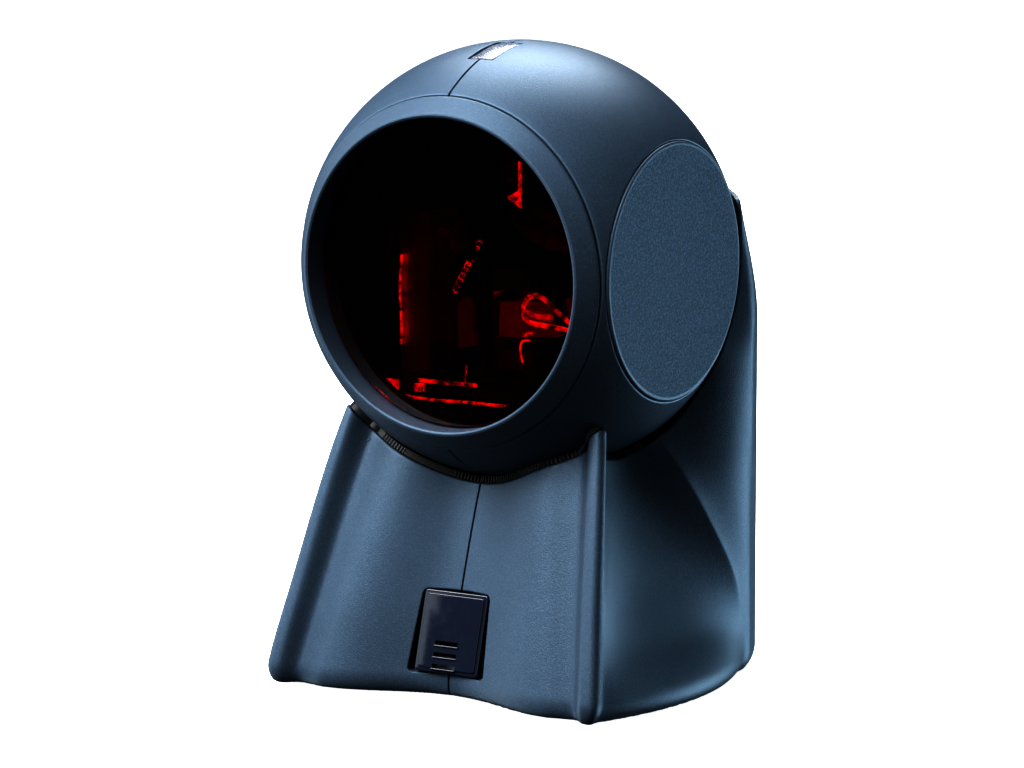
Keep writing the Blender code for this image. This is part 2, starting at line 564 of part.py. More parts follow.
# ---------------------------------------------------------------- bezel, window, status light
RING_BACK, TAIL_BACK = GROOVE_D + 0.4, 26.0
turned("bezel_ring", [
    (36.0, LIP_D - 0.1), (36.5, LIP_D), (37.2, 34.8), (38.6, 33.25), (39.6, 32.05), (40.3, RING_BACK),
    (37.7, RING_BACK), (37.7, TAIL_BACK), (WINDOW_R + GAP, TAIL_BACK), (WINDOW_R + GAP, LIP_D - 0.7)],
    TILT_AXIS, "slate", 36, turn=TO_FRONT)
turned("scan_window", [(0, WINDOW_D), (WINDOW_R, WINDOW_D), (WINDOW_R, WINDOW_D - WINDOW_T),
                       (0, WINDOW_D - WINDOW_T)], TILT_AXIS, "dark_red", 36, turn=TO_FRONT)
turned("window_gasket", [(WINDOW_R, 27.7), (WINDOW_R, 26.4), (33.0, 26.4), (33.0, 27.7)],
       TILT_AXIS, "rubber", 24, turn=TO_FRONT)
status = add("status_window", ball(BALL_R, 48, 36), TILT_AXIS, "clear")
status_box = block((STATUS_X, STATUS_Y[1] - STATUS_Y[0], 20), (0, sum(STATUS_Y) / 2, 50))
cut(status, add("status_outline", status_box, TILT_AXIS), operation="INTERSECT")
cut(status, add("status_under", ball(BALL_R - 2.4, 40, 24), TILT_AXIS))
add("status_board", block((8, 14, 1.2), (0, -10.5, 42.2)), TILT_AXIS, "board")
turned("status_lamp", [(0, 2.6), (0.9, 2.2), (1.4, 1.2), (1.4, 0), (0, 0)],
       TILT_AXIS, "clear", 12, (0, -10.5, 43.1))

# ---------------------------------------------------------------- optics on the bench
bench = prism("optical_bench", [(29.5, -18), (29.5, 22), (20, 31.5), (-20, 31.5), (-29.5, 22), (-29.5, -18),
                                (-20, -24), (20, -24)], BENCH_Z - BENCH_T, BENCH_Z, TILT_AXIS, "black")
for side, sign in SIDES:
    at = (sign * LEDGE_HOLE_X, SHELF_AT[0], BENCH_Z)
    turned(f"bench_screw_{side}", [(0, 1.7), (1.4, 1.7), (1.4, 0.2), (0.9, 0.2), (0.9, -4.8), (0, -4.8)],
           TILT_AXIS, "steel", 12, at)
    cut(bench, add(f"bench_hole_{side}", rod(1.2, 9, at=at, sides=12), TILT_AXIS))

MOTOR_LOW = BENCH_Z + GAP - SPIN_AT[2]          # heights below are from the mirror wheel's centre
add("motor_board", block((20, 26, 1.2)), TILT_AXIS, "board", (0, SPIN_AT[1] + 3, BENCH_Z + GAP + 0.6))
turned("spin_motor", [(1.8, MOTOR_LOW + 6.5), (8.5, MOTOR_LOW + 6.5), (9.0, MOTOR_LOW + 6.0),
                      (9.0, MOTOR_LOW + 1.5), (1.8, MOTOR_LOW + 1.5)], TILT_AXIS, "steel", 20, SPIN_AT)
turned("rotor_shaft", [(0, 5.6), (2.8, 5.6), (3.0, 5.3), (3.0, 4.4), (1.5, 4.4), (1.5, -4.4), (5.0, -4.4),
                       (5.0, -6.8), (1.5, -6.8), (1.5, MOTOR_LOW + 2.0), (0, MOTOR_LOW + 2.0)],
       SPIN_AXIS, "brass", 16)
wheel = bmesh.new()
bmesh.ops.create_cone(wheel, cap_ends=True, segments=6, radius1=13.0, radius2=12.3, depth=8.2)
wheel = add("polygon_mirror", wheel, SPIN_AXIS, "mirror")
cut(wheel, add("wheel_bore", rod(1.85, 20, sides=16), SPIN_AXIS))

for i in range(5):
    a = radians(MIRROR_STEP * (i - 2))
    mirror = add(f"pattern_mirror_{i + 1}", block((15, 1.5, 19)), TILT_AXIS, "mirror",
                 (SPIN_AT[0] + MIRROR_RING * sin(a), SPIN_AT[1] + MIRROR_RING * cos(a), BENCH_Z + 12.2))
    mirror.rotation_euler = (Matrix.Rotation(-a, 4, "Z") @ Matrix.Rotation(-MIRROR_LEAN, 4, "X")).to_euler()
dish = [(DISH_R * k / 3, (DISH_R * k / 3) ** 2 / (2 * DISH_F)) for k in range(4)]
dish_back = [(r, z - 1.5) for r, z in reversed(dish[1:])]
turned("collector_mirror", dish + dish_back + [(3.0, -1.5), (3.0, -16.5), (0, -16.5)],
       TILT_AXIS, "mirror", 20, (0, 18, 17), (pi / 2 + 0.22, 0, 0))
add("main_board", block((34, 1.6, 32), (0, 36.6, 6)), TILT_AXIS, "board")
add("detector_board", block((24, 1.4, 13), (0, -12, 31)), TILT_AXIS, "board")
add("detector_filter", block((8, 1.6, 8), (0, -10.1, 30.5)), TILT_AXIS, "red_filter")
turned("beeper", [(1.2, 5), (5.6, 5), (6.0, 4.6), (6.0, 0), (0, 0), (0, 3.5), (1.2, 3.5)],
       TILT_AXIS, "black", 20, (17, -14, BENCH_Z + GAP))
SINK_LOW, SINK_HIGH = BENCH_Z + GAP, LASER.z + 6.5
sink = block((8, 12, SINK_HIGH - SINK_LOW), (LASER.x, LASER.y, (SINK_HIGH + SINK_LOW) / 2))
mount = add("laser_heat_sink", sink, TILT_AXIS, "aluminium")
cut(mount, add("laser_bore", rod(4.6, 20, "x", LASER, 20), TILT_AXIS))
turned("laser_barrel", [(1.5, 9), (3.8, 9), (4.2, 8.5), (4.2, -6), (0, -6), (0, 6), (1.5, 6)],
       TILT_AXIS, "brass", 20, LASER, (0, pi / 2, 0))
POST_H = 28.0
post = rod(1.8, POST_H, at=(*FOLD_AT, BENCH_Z - 0.5 + POST_H / 2), sides=12)
cut(bench, add("fold_mirror_post", post, TILT_AXIS), operation="UNION")
add("fold_mirror", block((9, 1.5, 8)), TILT_AXIS, "mirror", (*FOLD_AT, LASER.z + 0.2), (0, 0, radians(35)))

# ---------------------------------------------------------------- wiring
wire("head_harness", [(29.0, 0, 0), (26.5, 0.3, 0.3), (23.5, 4, 1.5), (21, 12, 3), (19, 22, 4), (16.5, 30, 5),
                      (14.5, 35.4, 6)], 1.0, TILT_AXIS, "black")
route = [(29.4, 0, 0), (30.4, 0.1, -0.3), (31.3, 1.2, -1.6)]
route += [(31.5, ARM_FOOT.y * k, ARM_FOOT.z * k) for k in (0.09, 0.25, 0.45, 0.62, 0.78)]
route += [(29.5, 36, -54), (25, 34, -68), (19, 30, -80), (16, 27, -87.0)]
wire("stand_harness", [(x, y, z + PIVOT[2]) for x, y, z in route], 1.0, STAND_FRAME, "black")
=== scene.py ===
import json
from math import acos, cos, pi, radians, sin, sqrt

import bmesh
import bpy
import numpy as np
from mathutils import Matrix, Vector
from mathutils.geometry import delaunay_2d_cdt


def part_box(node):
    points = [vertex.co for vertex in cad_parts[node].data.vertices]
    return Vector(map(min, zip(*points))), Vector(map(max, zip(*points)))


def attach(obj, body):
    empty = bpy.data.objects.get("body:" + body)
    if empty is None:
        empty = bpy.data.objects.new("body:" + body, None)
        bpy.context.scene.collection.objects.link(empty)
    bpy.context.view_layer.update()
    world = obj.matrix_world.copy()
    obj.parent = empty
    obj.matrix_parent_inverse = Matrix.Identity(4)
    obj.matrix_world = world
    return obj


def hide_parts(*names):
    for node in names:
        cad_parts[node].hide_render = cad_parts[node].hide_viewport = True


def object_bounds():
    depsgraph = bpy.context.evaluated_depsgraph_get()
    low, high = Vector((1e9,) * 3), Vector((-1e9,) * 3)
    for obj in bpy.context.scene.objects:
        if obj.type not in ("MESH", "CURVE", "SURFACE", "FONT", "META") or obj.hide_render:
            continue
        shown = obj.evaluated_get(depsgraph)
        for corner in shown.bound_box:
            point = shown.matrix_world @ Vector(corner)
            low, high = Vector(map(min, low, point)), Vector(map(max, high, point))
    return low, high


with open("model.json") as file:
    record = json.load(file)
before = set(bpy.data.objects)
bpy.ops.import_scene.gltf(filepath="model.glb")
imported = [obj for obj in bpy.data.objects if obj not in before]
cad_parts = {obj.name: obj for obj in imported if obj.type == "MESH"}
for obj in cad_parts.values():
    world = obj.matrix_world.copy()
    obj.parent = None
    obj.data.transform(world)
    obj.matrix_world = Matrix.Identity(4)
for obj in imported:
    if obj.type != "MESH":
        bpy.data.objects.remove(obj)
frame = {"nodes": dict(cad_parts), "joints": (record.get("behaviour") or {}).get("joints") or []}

CAD_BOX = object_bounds()
MM = 0.001
JOINTS = {joint["name"]: joint for joint in frame["joints"]}
HEAD = Vector(JOINTS["head_tilt"]["pos_m"]) / MM        # centre of the head, on the tilt axis
AXIS = Vector((HEAD.x, HEAD.y, 0))                      # foot of the vertical line through the head

# -------- sizes, millimetres
BALL_R = CAD_BOX[1].z / MM - HEAD.z
SEAM = 0.15                         # half the gap between left and right casings
GROOVE_D, LIP_D = 30.8, 35.5        # bezel's outer edge and front lip, ahead of the centre
WINDOW_R, WINDOW_D, WINDOW_T = 35.4, 29.6, 1.6
DISC_R, DISC_FACE, DISC_T, DISC_CLEAR = 29.7, 41.7, 1.2, 0.25
DISC_DISH, DISH_BLEND = 0.5, 1.4    # slope of the shallow dish round the disc, and how softly it begins
SEAM_EDGE = 0.22                    # edge radius along the seams
GAP = 0.3
HEAD_WALL, STAND_WALL = 2.0, 2.2
LAP_HALF, LAP_DEPTHS = 1.5, (0.1, 0.8)      # strips behind the seams: half width, and faces behind the wall
LAP_FRONT, LAP_REAR = (28.0, 70.0), (22.0, 90.0)        # heights that the stand's strips span
LAP_HEAD = (93, 221)                # degrees from straight ahead over the top that the head's strip spans
LINER_END, LINER_DEPTH, LINER_TEETH = (33, -12), 6.0, (0.35, 1.1)
CRADLE_R, CRADLE_DROP = 52.2, 1.0
FOOT_Z = 0.8                        # height of the stand casing's lower edge
PLATE_W, PLATE_H, PLATE_Z, PLATE_LEAN, PLATE_AHEAD = 17.2, 19.0, 15.4, -0.27, 0.9
SOCKET_W, SOCKET_H, SOCKET_Z, SOCKET_FACE = 12.4, 9.0, 15.0, 61.4
SOCKET_NOTCH = (8.5, 7.0)           # half width and half height of the opening for it
STATUS_W, STATUS_FRONT, STATUS_REAR = 6.2, -17.3, -4.3

# The stand's outline: x and y from the head's vertical line, at heights above the table.
FRONT_Y = ((0, -32.5), (25, -25.6), (48, -17.8), (70, -8.0))
LOBE = ((0, 30.5, -40.6), (25, 25.5, -32.6), (50, 21.0, -23.8), (70, 19.0, -15.0))
GROOVE_DEPTH, GROOVE_SHARE = 1.3, 0.62      # beside the ridge: depth, and its share of the way from the lobe
RIDGE = ((0, 44.9, -41.7, 3.6), (6, 45.0, -40.8, 3.5), (25, 42.0, -35.0, 3.1), (50, 38.0, -27.0, 2.6),
         (65, 35.0, -21.4, 2.4), (78, 31.0, -15.5, 2.3))
RIDGE_SQUARE = 0.62                 # 1 makes the ridge's corner round, less makes it squarer
CREASE = ((0, 45.2, 26.5), (10, 45.8, 25.5), (25, 46.0, 21.0), (40, 43.2, 13.2), (50, 40.0, 8.0),
          (61, 34.0, 4.0), (75, 27.0, 1.0))
SCOOP = ((0, -7.0), (6, -5.6), (16, 0.0), (30, 5.0), (50, 8.0), (65, 6.0), (78, 3.0))
COLUMN_Y, COLUMN_RX, COLUMN_RY = 20.0, 46.0, 43.0
JOIN_ANGLE, CREASE_BULGE = 15.0, 0.47       # degrees at which the crease's run meets the column; its swell
SHOULDER_Z = 84.0
RIM_SLOPE, RIM_Y, RIM_UP, HOOD_PROUD = 0.20, 26.0, 13.0, 1.9
FOOT_ROUND_H, FOOT_ROUND_IN = 5.0, 3.0


# -------- materials
class Nodes:
    """A material's node tree, with one call for each node."""

    def __init__(self, name):
        self.material = bpy.data.materials.new(name)
        self.material.use_nodes = True
        self.tree = self.material.node_tree
        self.shader = self.tree.nodes["Principled BSDF"]
        self.place = self.add("ShaderNodeTexCoord").outputs["Object"]

    def add(self, kind, settings=None, **inputs):
        node = self.tree.nodes.new(kind)
        for name, value in (settings or {}).items():
            setattr(node, name, value)
        for name, value in inputs.items():
            self.feed(node, name.replace("_", " "), value)
        return node

    def feed(self, node, name, value):
        socket = node.inputs[int(name)] if name.isdigit() else node.inputs[name]
        if isinstance(value, bpy.types.NodeSocket):
            self.tree.links.new(value, socket)
        else:
            socket.default_value = value

    def noise(self, size, detail=2.0, rough=0.5, place=None):
        """Noise with features about this many millimetres across."""
        node = self.add("ShaderNodeTexNoise", Vector=place or self.place, Scale=1 / (size * MM),
                        Detail=detail, Roughness=rough)
        return node.outputs["Fac"]

    def span(self, value, low, high, to_low, to_high):
        node = self.add("ShaderNodeMapRange", Value=value)
        for name, number in (("From Min", low), ("From Max", high), ("To Min", to_low), ("To Max", to_high)):
            node.inputs[name].default_value = number
        return node.outputs["Result"]

    def math(self, operation, a, b):
        node = self.add("ShaderNodeMath", {"operation": operation})
        self.feed(node, "0", a)
        self.feed(node, "1", b)
        return node.outputs["Value"]

    def mix(self, factor, a, b):
        node = self.add("ShaderNodeMix", {"data_type": "RGBA"})
        for index, value in (("0", factor), ("6", a), ("7", b)):
            self.feed(node, index, (*value, 1) if isinstance(value, tuple) else value)
        return node.outputs[2]

    def bump(self, height, distance):
        node = self.add("ShaderNodeBump", Height=height, Strength=1.0, Distance=distance * MM)
        return node.outputs["Normal"]

    def finish(self, **inputs):
        for name, value in inputs.items():
            self.feed(self.shader, name.replace("_", " "), value)
        return self.material


def shade(colour, gain, lift=0.0):
    return tuple(min(1, c * gain + lift) for c in colour)


def moulded(name, colour, rough, grain, depth, fleck=0.0, edge_wear_and_highlight=0.25, tint=(1, 1, 1), sheen=0.38):
    """Moulded plastic: an even spark-eroded grain, faint flow marks, and edges handled smooth, their lighter
    colour partly wear and partly a painted highlight.
    """
    n = Nodes(name)
    fine = n.noise(grain, 3.0, 0.6)
    broad = n.noise(24.0, 2.0)
    edge = n.add("ShaderNodeAttribute", {"attribute_name": "edge"}).outputs["Fac"]
    tone = n.mix(n.span(broad, 0.35, 0.65, 0, 1), shade(colour, 0.90), shade(colour, 1.10))
    if fleck:
        tone = n.mix(n.span(fine, 0.52, 0.60, 0, fleck), tone, shade(colour, 2.2, 0.02))
        tone = n.mix(n.span(fine, 0.40, 0.48, fleck, 0), tone, shade(colour, 0.35))
    # lighter colour along the edges: partly handling wear, partly a painted highlight
    tone = n.mix(n.math("MULTIPLY", edge, edge_wear_and_highlight), tone, shade(colour, 1.7, 0.01))
    rough_map = n.math("ADD", n.span(fine, 0.3, 0.7, rough + 0.05, rough - 0.05),
                       n.math("MULTIPLY", edge, -0.10))
    n.finish(Base_Color=tone, Roughness=rough_map, Normal=n.bump(fine, depth))
    n.shader.inputs["Specular Tint"].default_value = (*tint, 1)
    n.shader.inputs["Specular IOR Level"].default_value = sheen
    return n.material


def metal(name, colour, rough, brushed=0.0):
    """Plated or machined metal with fine scratches and dull patches."""
    n = Nodes(name)
    stretched = n.add("ShaderNodeMapping", Vector=n.place)
    stretched.inputs["Scale"].default_value = (1, 1, 14) if brushed else (1, 1, 1)
    lines = n.noise(0.5, 4.0, 0.6, stretched.outputs["Vector"])
    patches = n.noise(5.0, 3.0)
    tone = n.mix(n.span(patches, 0.3, 0.7, 0, 1), shade(colour, 0.82), colour)
    n.finish(Base_Color=tone, Metallic=1.0, Roughness=n.span(lines, 0.25, 0.75, rough * 0.7, rough * 1.4),
             Normal=n.bump(lines, 0.01 + brushed))
    return n.material


def glassy(name, colour, rough, transmission, haze=0.0, shine=0.5):
    """Clear or tinted plastic with a faintly uneven polish."""
    n = Nodes(name)
    swirl = n.noise(9.0, 2.0)
    n.finish(Base_Color=n.mix(n.span(swirl, 0.3, 0.7, 0, 1), shade(colour, 0.92), colour),
             Roughness=n.span(n.noise(0.6, 3.0), 0.3, 0.7, rough, rough + haze),
             Normal=n.bump(swirl, 0.01))
    n.shader.inputs["Transmission Weight"].default_value = transmission
    n.shader.inputs["IOR"].default_value = 1.49
    n.shader.inputs["Specular IOR Level"].default_value = shine
    return n.material


def metal_with_painted_glints(name, colour):
    """Bright metal glowing red in patches: painted glints, not a lamp."""
    n = Nodes(name)
    patches = n.noise(2.2, 3.0, 0.6)
    n.finish(Base_Color=(*colour, 1), Metallic=0.9, Roughness=n.span(patches, 0.3, 0.7, 0.2, 0.4),
             Normal=n.bump(patches, 0.02), Emission_Strength=n.span(patches, 0.40, 0.62, 0.15, 5.0))
    n.shader.inputs["Emission Color"].default_value = (1.0, 0.01, 0.008, 1)
    return n.material


def circuit(name):
    """Green solder mask with copper tracks showing through."""
    n = Nodes(name)
    cells = n.add("ShaderNodeTexBrick", {"offset": 0.5}, Vector=n.place, Scale=260.0)
    cells.inputs["Mortar Size"].default_value = 0.06
    tracks = n.span(cells.outputs["Fac"], 0.2, 0.8, 0, 1)
    tone = n.mix(tracks, (0.012, 0.11, 0.045), (0.05, 0.24, 0.09))
    n.finish(Base_Color=tone, Roughness=n.span(n.noise(1.5), 0.3, 0.7, 0.30, 0.45),
             Normal=n.bump(tracks, 0.03))
    return n.material


SLATE = (0.020, 0.033, 0.050)
FINISH = {
    "slate": moulded("slate_plastic", SLATE, 0.42, 0.30, 0.07, fleck=0.22, tint=(0.50, 0.74, 1.0)),
    "speckled": moulded("speckled_plastic", (0.012, 0.034, 0.065), 0.62, 0.55, 0.16, fleck=0.55, edge_wear_and_highlight=0,
                        tint=(0.60, 0.80, 1.0)),
    "window": glassy("window_red", (0.24, 0.002, 0.002), 0.03, 1.0, shine=0.10),
    "clear": glassy("clear_plastic", (0.13, 0.145, 0.19), 0.18, 0.55, 0.15),
    "filter": glassy("red_filter", (0.45, 0.01, 0.01), 0.05, 0.6),
    "gloss": moulded("gloss_black", (0.006, 0.009, 0.018), 0.12, 2.0, 0.004, edge_wear_and_highlight=0.1),
    "black": moulded("black_plastic", (0.012, 0.012, 0.014), 0.50, 0.5, 0.03),
    "rubber": moulded("rubber", (0.018, 0.018, 0.018), 0.80, 0.7, 0.05),
    "mirror": metal("mirror", (0.90, 0.91, 0.93), 0.05),
    "steel": metal("steel", (0.52, 0.53, 0.55), 0.34, 0.01),
    "aluminium": metal("aluminium", (0.70, 0.71, 0.73), 0.42, 0.02),
    "brass": metal("brass", (0.76, 0.58, 0.27), 0.30),
    # bright metal with a red glow in patches: painted glints
    "laser_lit": metal_with_painted_glints("steel_painted_red_glints", (0.55, 0.52, 0.50)),
    "board": circuit("board"),
}


# -------- making pieces
def piece(name, verts, faces, body, finish, stands_for=(), edge=None, sharp=38):
    """A mesh in millimetres of the row frame, riding on a body."""
    mesh = bpy.data.meshes.new(name)
    bm = bmesh.new()
    made = [bm.verts.new(Vector(v) * MM) for v in verts]
    for face in faces:
        if len(set(face)) > 2:
            bm.faces.new([made[i] for i in face])
    bmesh.ops.recalc_face_normals(bm, faces=bm.faces)
    bm.to_mesh(mesh)
    bm.free()
    if edge is not None:
        mesh.attributes.new("edge", "FLOAT", "POINT").data.foreach_set("value", np.asarray(edge, np.float32))
    return place_piece(name, mesh, body, finish, stands_for, sharp)


def linked(name, data):
    """A new object in the scene."""
    obj = bpy.data.objects.new(name, data)
    bpy.context.scene.collection.objects.link(obj)
    return obj


def place_piece(name, mesh, body, finish, stands_for=(), sharp=38):
    """Links a finished mesh as a piece of the object."""
    mesh.shade_smooth()
    mesh.set_sharp_from_angle(angle=radians(sharp))
    obj = linked(name, mesh)
    for kind in [finish] if isinstance(finish, str) else finish:
        mesh.materials.append(FINISH[kind])
    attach(obj, body)
    if stands_for:
        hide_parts(*stands_for)
    return obj


def mesh_of(bm):
    """A mesh from a bmesh in millimetres."""
    bmesh.ops.scale(bm, vec=(MM, MM, MM), verts=bm.verts)
    mesh = bpy.data.meshes.new("mesh")
    bm.to_mesh(mesh)
    bm.free()
    return mesh


def rounded(points, radius, steps=4):
    """A closed outline with its corners rounded; radius is one number or one for each corner."""
    count = len(points)
    radii = radius if isinstance(radius, (list, tuple)) else [radius] * count
    out = []
    for i, (point, r) in enumerate(zip(points, radii)):
        here = Vector(point)
        before = Vector(points[i - 1]) - here
        after = Vector(points[(i + 1) % count]) - here
        if r <= 0:
            out.append(tuple(here))
            continue
        half = before.angle(after) / 2
        reach = min(r / max(np.tan(half), 1e-6), before.length * 0.49, after.length * 0.49)
        a, b = here + before.normalized() * reach, here + after.normalized() * reach
        for k in range(steps + 1):
            t = k / steps
            out.append(tuple(a * (1 - t) ** 2 + here * 2 * t * (1 - t) + b * t ** 2))
    return out


def lathe(profile, steps=96):
    """A closed (radius, height) profile turned about z, as a bmesh."""
    bm = bmesh.new()
    rings = []
    for i in range(steps):
        a = 2 * pi * i / steps
        rings.append([bm.verts.new((r * cos(a), r * sin(a), z)) for r, z in profile])
    for i, ring in enumerate(rings):
        after = rings[(i + 1) % steps]
        for j in range(len(profile)):
            k = (j + 1) % len(profile)
            if profile[j][0] < 1e-6 and profile[k][0] < 1e-6:
                continue
            bm.faces.new((ring[j], ring[k], after[k], after[j]))
    bmesh.ops.remove_doubles(bm, verts=bm.verts, dist=1e-5)
    bmesh.ops.dissolve_degenerate(bm, edges=bm.edges, dist=1e-5)
    bmesh.ops.recalc_face_normals(bm, faces=bm.faces)
    return bm


def turned(name, profile, matrix, body, finish, stands_for=(), steps=96, split=None):
    """A turned piece placed by a matrix in millimetres. Faces that split picks get the second finish."""
    bm = lathe(profile, steps)
    if split is not None:
        for face in bm.faces:
            face.material_index = int(split(face.calc_center_median()))
    bmesh.ops.transform(bm, matrix=matrix, verts=bm.verts)
    return place_piece(name, mesh_of(bm), body, finish, stands_for)


def unit(rows):
    return rows / np.linalg.norm(rows, axis=-1)[..., None]


def slab(outline, low, high, edge=0.0, steps=3):
    """A flat outline given a thickness and rounded rims, as a bmesh standing on z = low."""
    levels = [(low, 0), (high, 0)]
    if edge:
        turn = np.linspace(0, pi / 2, steps + 1)
        levels = [(low + edge - edge * sin(a), edge - edge * cos(a)) for a in turn[::-1]]
        levels += [(high - edge + edge * sin(a), edge - edge * cos(a)) for a in turn]
    flat = np.array(outline, float)
    ahead, behind = np.roll(flat, -1, 0), np.roll(flat, 1, 0)
    along = ahead - behind
    normal = unit(np.stack([along[:, 1], -along[:, 0]], 1))
    area = np.sum(flat[:, 0] * ahead[:, 1] - flat[:, 1] * ahead[:, 0])
    normal *= np.sign(area)
    bm = bmesh.new()
    loops = [[bm.verts.new((x, y, z)) for x, y in flat - normal * inwards] for z, inwards in levels]
    for a, b in zip(loops, loops[1:]):
        for i in range(len(a)):
            j = (i + 1) % len(a)
            bm.faces.new((a[i], a[j], b[j], b[i]))
    bm.faces.new(loops[0][::-1])
    bm.faces.new(loops[-1])
    bmesh.ops.recalc_face_normals(bm, faces=bm.faces)
    return bm


def box_outline(width, height, radius, steps=4, at=(0, 0)):
    w, h = width / 2, height / 2
    corners = [(at[0] - w, at[1] - h), (at[0] + w, at[1] - h), (at[0] + w, at[1] + h), (at[0] - w, at[1] + h)]
    return rounded(corners, radius, steps)


def baked(obj):
    """An object with its modifiers applied, as a bmesh in millimetres."""
    mesh = bpy.data.meshes.new_from_object(obj.evaluated_get(bpy.context.evaluated_depsgraph_get()))
    bm = bmesh.new()
    bm.from_mesh(mesh)
    bmesh.ops.scale(bm, vec=(1 / MM, 1 / MM, 1 / MM), verts=bm.verts)
    return bm


def carve(bm, *cutters):
    """The bmesh less the cutters, by exact Booleans."""
    target = linked("target", mesh_of(bm))
    tools = []
    for cutter in cutters:
        tool = linked("tool", mesh_of(cutter))
        modifier = target.modifiers.new("cut", "BOOLEAN")
        modifier.solver = "EXACT"
        modifier.object = tool
        tools.append(tool)
    out = baked(target)
    for thing in [target] + tools:
        bpy.data.objects.remove(thing, do_unlink=True)
    return out


def join(*parts):
    """Several bmeshes as one."""
    whole = bmesh.new()
    for part in parts:
        mesh = bpy.data.meshes.new("part")
        part.to_mesh(mesh)
        part.free()
        whole.from_mesh(mesh)
        bpy.data.meshes.remove(mesh)
    return whole


def moved(bm, matrix):
    bmesh.ops.transform(bm, matrix=matrix, verts=bm.verts)
    return bm


# -------- casings: a skin over a smooth surface
def inside(points, loop):
    """Which points lie inside a closed loop."""
    x, y = points[:, 0][:, None], points[:, 1][:, None]
    ax, ay = loop[:, 0], loop[:, 1]
    bx, by = np.roll(ax, -1), np.roll(ay, -1)
    crosses = (ay > y) != (by > y)
    with np.errstate(divide="ignore", invalid="ignore"):
        at = (bx - ax) * (y - ay) / (by - ay) + ax
    return (np.sum(crosses & (x < at), axis=1) % 2).astype(bool)


def nearest(points, targets):
    """Distance from each point to the nearest target, and which one it is."""
    best = np.full(len(points), np.inf)
    which = np.zeros(len(points), int)
    for start in range(0, len(points), 2000):
        batch = slice(start, start + 2000)
        apart = np.linalg.norm(points[batch][:, None, :] - targets[None, :, :], axis=2)
        which[batch] = apart.argmin(1)
        best[batch] = apart.min(1)
    return best, which


def skin(loops, fine, coarse, surface, wall):
    """A closed casing.

    loops are closed outlines in the surface's own flat map, the outer one first, each with an edge radius
    per point. fine and coarse are the map points between them for the outside and the inside. surface gives
    points and normals, and wall gives the inner point for each.
    """
    rim = np.concatenate([loop for loop, _ in loops])
    radii = np.concatenate([radius for _, radius in loops])
    edges, start, inward = [], 0, []
    for index, (loop, _) in enumerate(loops):
        count = len(loop)
        edges += [(start + i, start + (i + 1) % count) for i in range(count)]
        along = np.roll(loop, -1, 0) - np.roll(loop, 1, 0)
        normal = unit(np.stack([-along[:, 1], along[:, 0]], 1))
        area = np.sum(loop[:, 0] * np.roll(loop[:, 1], -1) - loop[:, 1] * np.roll(loop[:, 0], -1))
        sign = np.sign(area) * (1 if index == 0 else -1)
        inward.append(normal * sign)
        start += count
    inward = np.concatenate(inward)
    rim_at, _ = surface(rim)
    beside, _ = surface(rim + inward * 0.3)
    stretch = np.linalg.norm(beside - rim_at, axis=1) / 0.3
    rows = [rim + inward * (radii * share / stretch)[:, None] for share in (0.076, 0.293, 0.617, 1.0, 1.7)]
    rows = [row[radii > 0] for row in rows]

    def between(points):
        ok = inside(points, loops[0][0])
        for loop, _ in loops[1:]:
            ok &= ~inside(points, loop)
        return ok

    def kept(points, clear):
        apart, which = nearest(points, rim)
        return points[between(points) & (apart > clear * np.maximum(radii[which], 0.1))]

    def mesh(extra):
        points = np.concatenate([rim] + extra)
        made, _, faces, source, _, _ = delaunay_2d_cdt([Vector(p) for p in points], edges, [], 0, 1e-5)
        flat = np.array([tuple(p) for p in made])
        middles = np.array([flat[list(face)].mean(0) for face in faces])
        index = {old: new for new, group in enumerate(source) for old in group if old < len(rim)}
        return flat, [face for face, good in zip(faces, between(middles)) if good], index

    flat, faces, index = mesh([kept(row, 0.06) for row in rows] + [kept(fine, 2.3)])
    at, normal = surface(flat)
    apart, which = nearest(at, rim_at)
    r = radii[which]
    short = np.clip(r - apart, 0, None)
    sunk = r - np.sqrt(np.clip(r ** 2 - short ** 2, 0, None))
    outer = at - normal * sunk[:, None]
    # closeness to the rim; the plastic lightens there, partly as handling wear and partly as a painted
    # highlight
    edge = np.clip(1 - apart / 1.6, 0, 1) * (r > 0.3)
    inner_flat, inner_faces, inner_index = mesh([kept(coarse, 12)])
    inner_at, inner_normal = surface(inner_flat)
    inner = wall(inner_at, inner_normal)
    offset = len(outer)
    all_faces = list(faces) + [tuple(offset + i for i in reversed(face)) for face in inner_faces]
    all_faces += [(index[a], index[b], offset + inner_index[b], offset + inner_index[a]) for a, b in edges]
    verts = np.concatenate([outer, inner])
    used = sorted({i for face in all_faces for i in face})
    renumber = {old: new for new, old in enumerate(used)}
    all_faces = [tuple(renumber[i] for i in face) for face in all_faces]
    return verts[used], all_faces, np.concatenate([edge, np.zeros(len(inner))])[used]


def pair(name, skin_parts, middle, body, nodes, finish="slate"):
    """The right casing, made about the middle line, and its mirror image on the left."""
    verts, faces, edge = skin_parts
    for side, sign in (("right", 1), ("left", -1)):
        placed = verts * np.array([sign, 1, 1]) + np.array(middle)
        piece(f"{name}_{side}", placed, faces, body, finish, [f"{nodes}_{side}"], edge)


def resampled(line, step):
    """An open line with points at even steps."""
    line = np.asarray(line, float)
    along = np.concatenate([[0], np.cumsum(np.linalg.norm(np.diff(line, axis=0), axis=1))])
    at = np.linspace(0, along[-1], max(2, int(round(along[-1] / step)) + 1))
    return np.stack([np.interp(at, along, line[:, k]) for k in range(line.shape[1])], 1)


def smoothed(line, reach):
    """An evenly spaced open line with its corners rounded over this many points, its ends kept."""
    window = np.ones(2 * reach + 1) / (2 * reach + 1)
    padded = np.concatenate([2 * line[0] - line[reach:0:-1], line, 2 * line[-1] - line[-2:-reach - 2:-1]])
    return np.stack([np.convolve(padded[:, k], window, "valid") for k in range(line.shape[1])], 1)


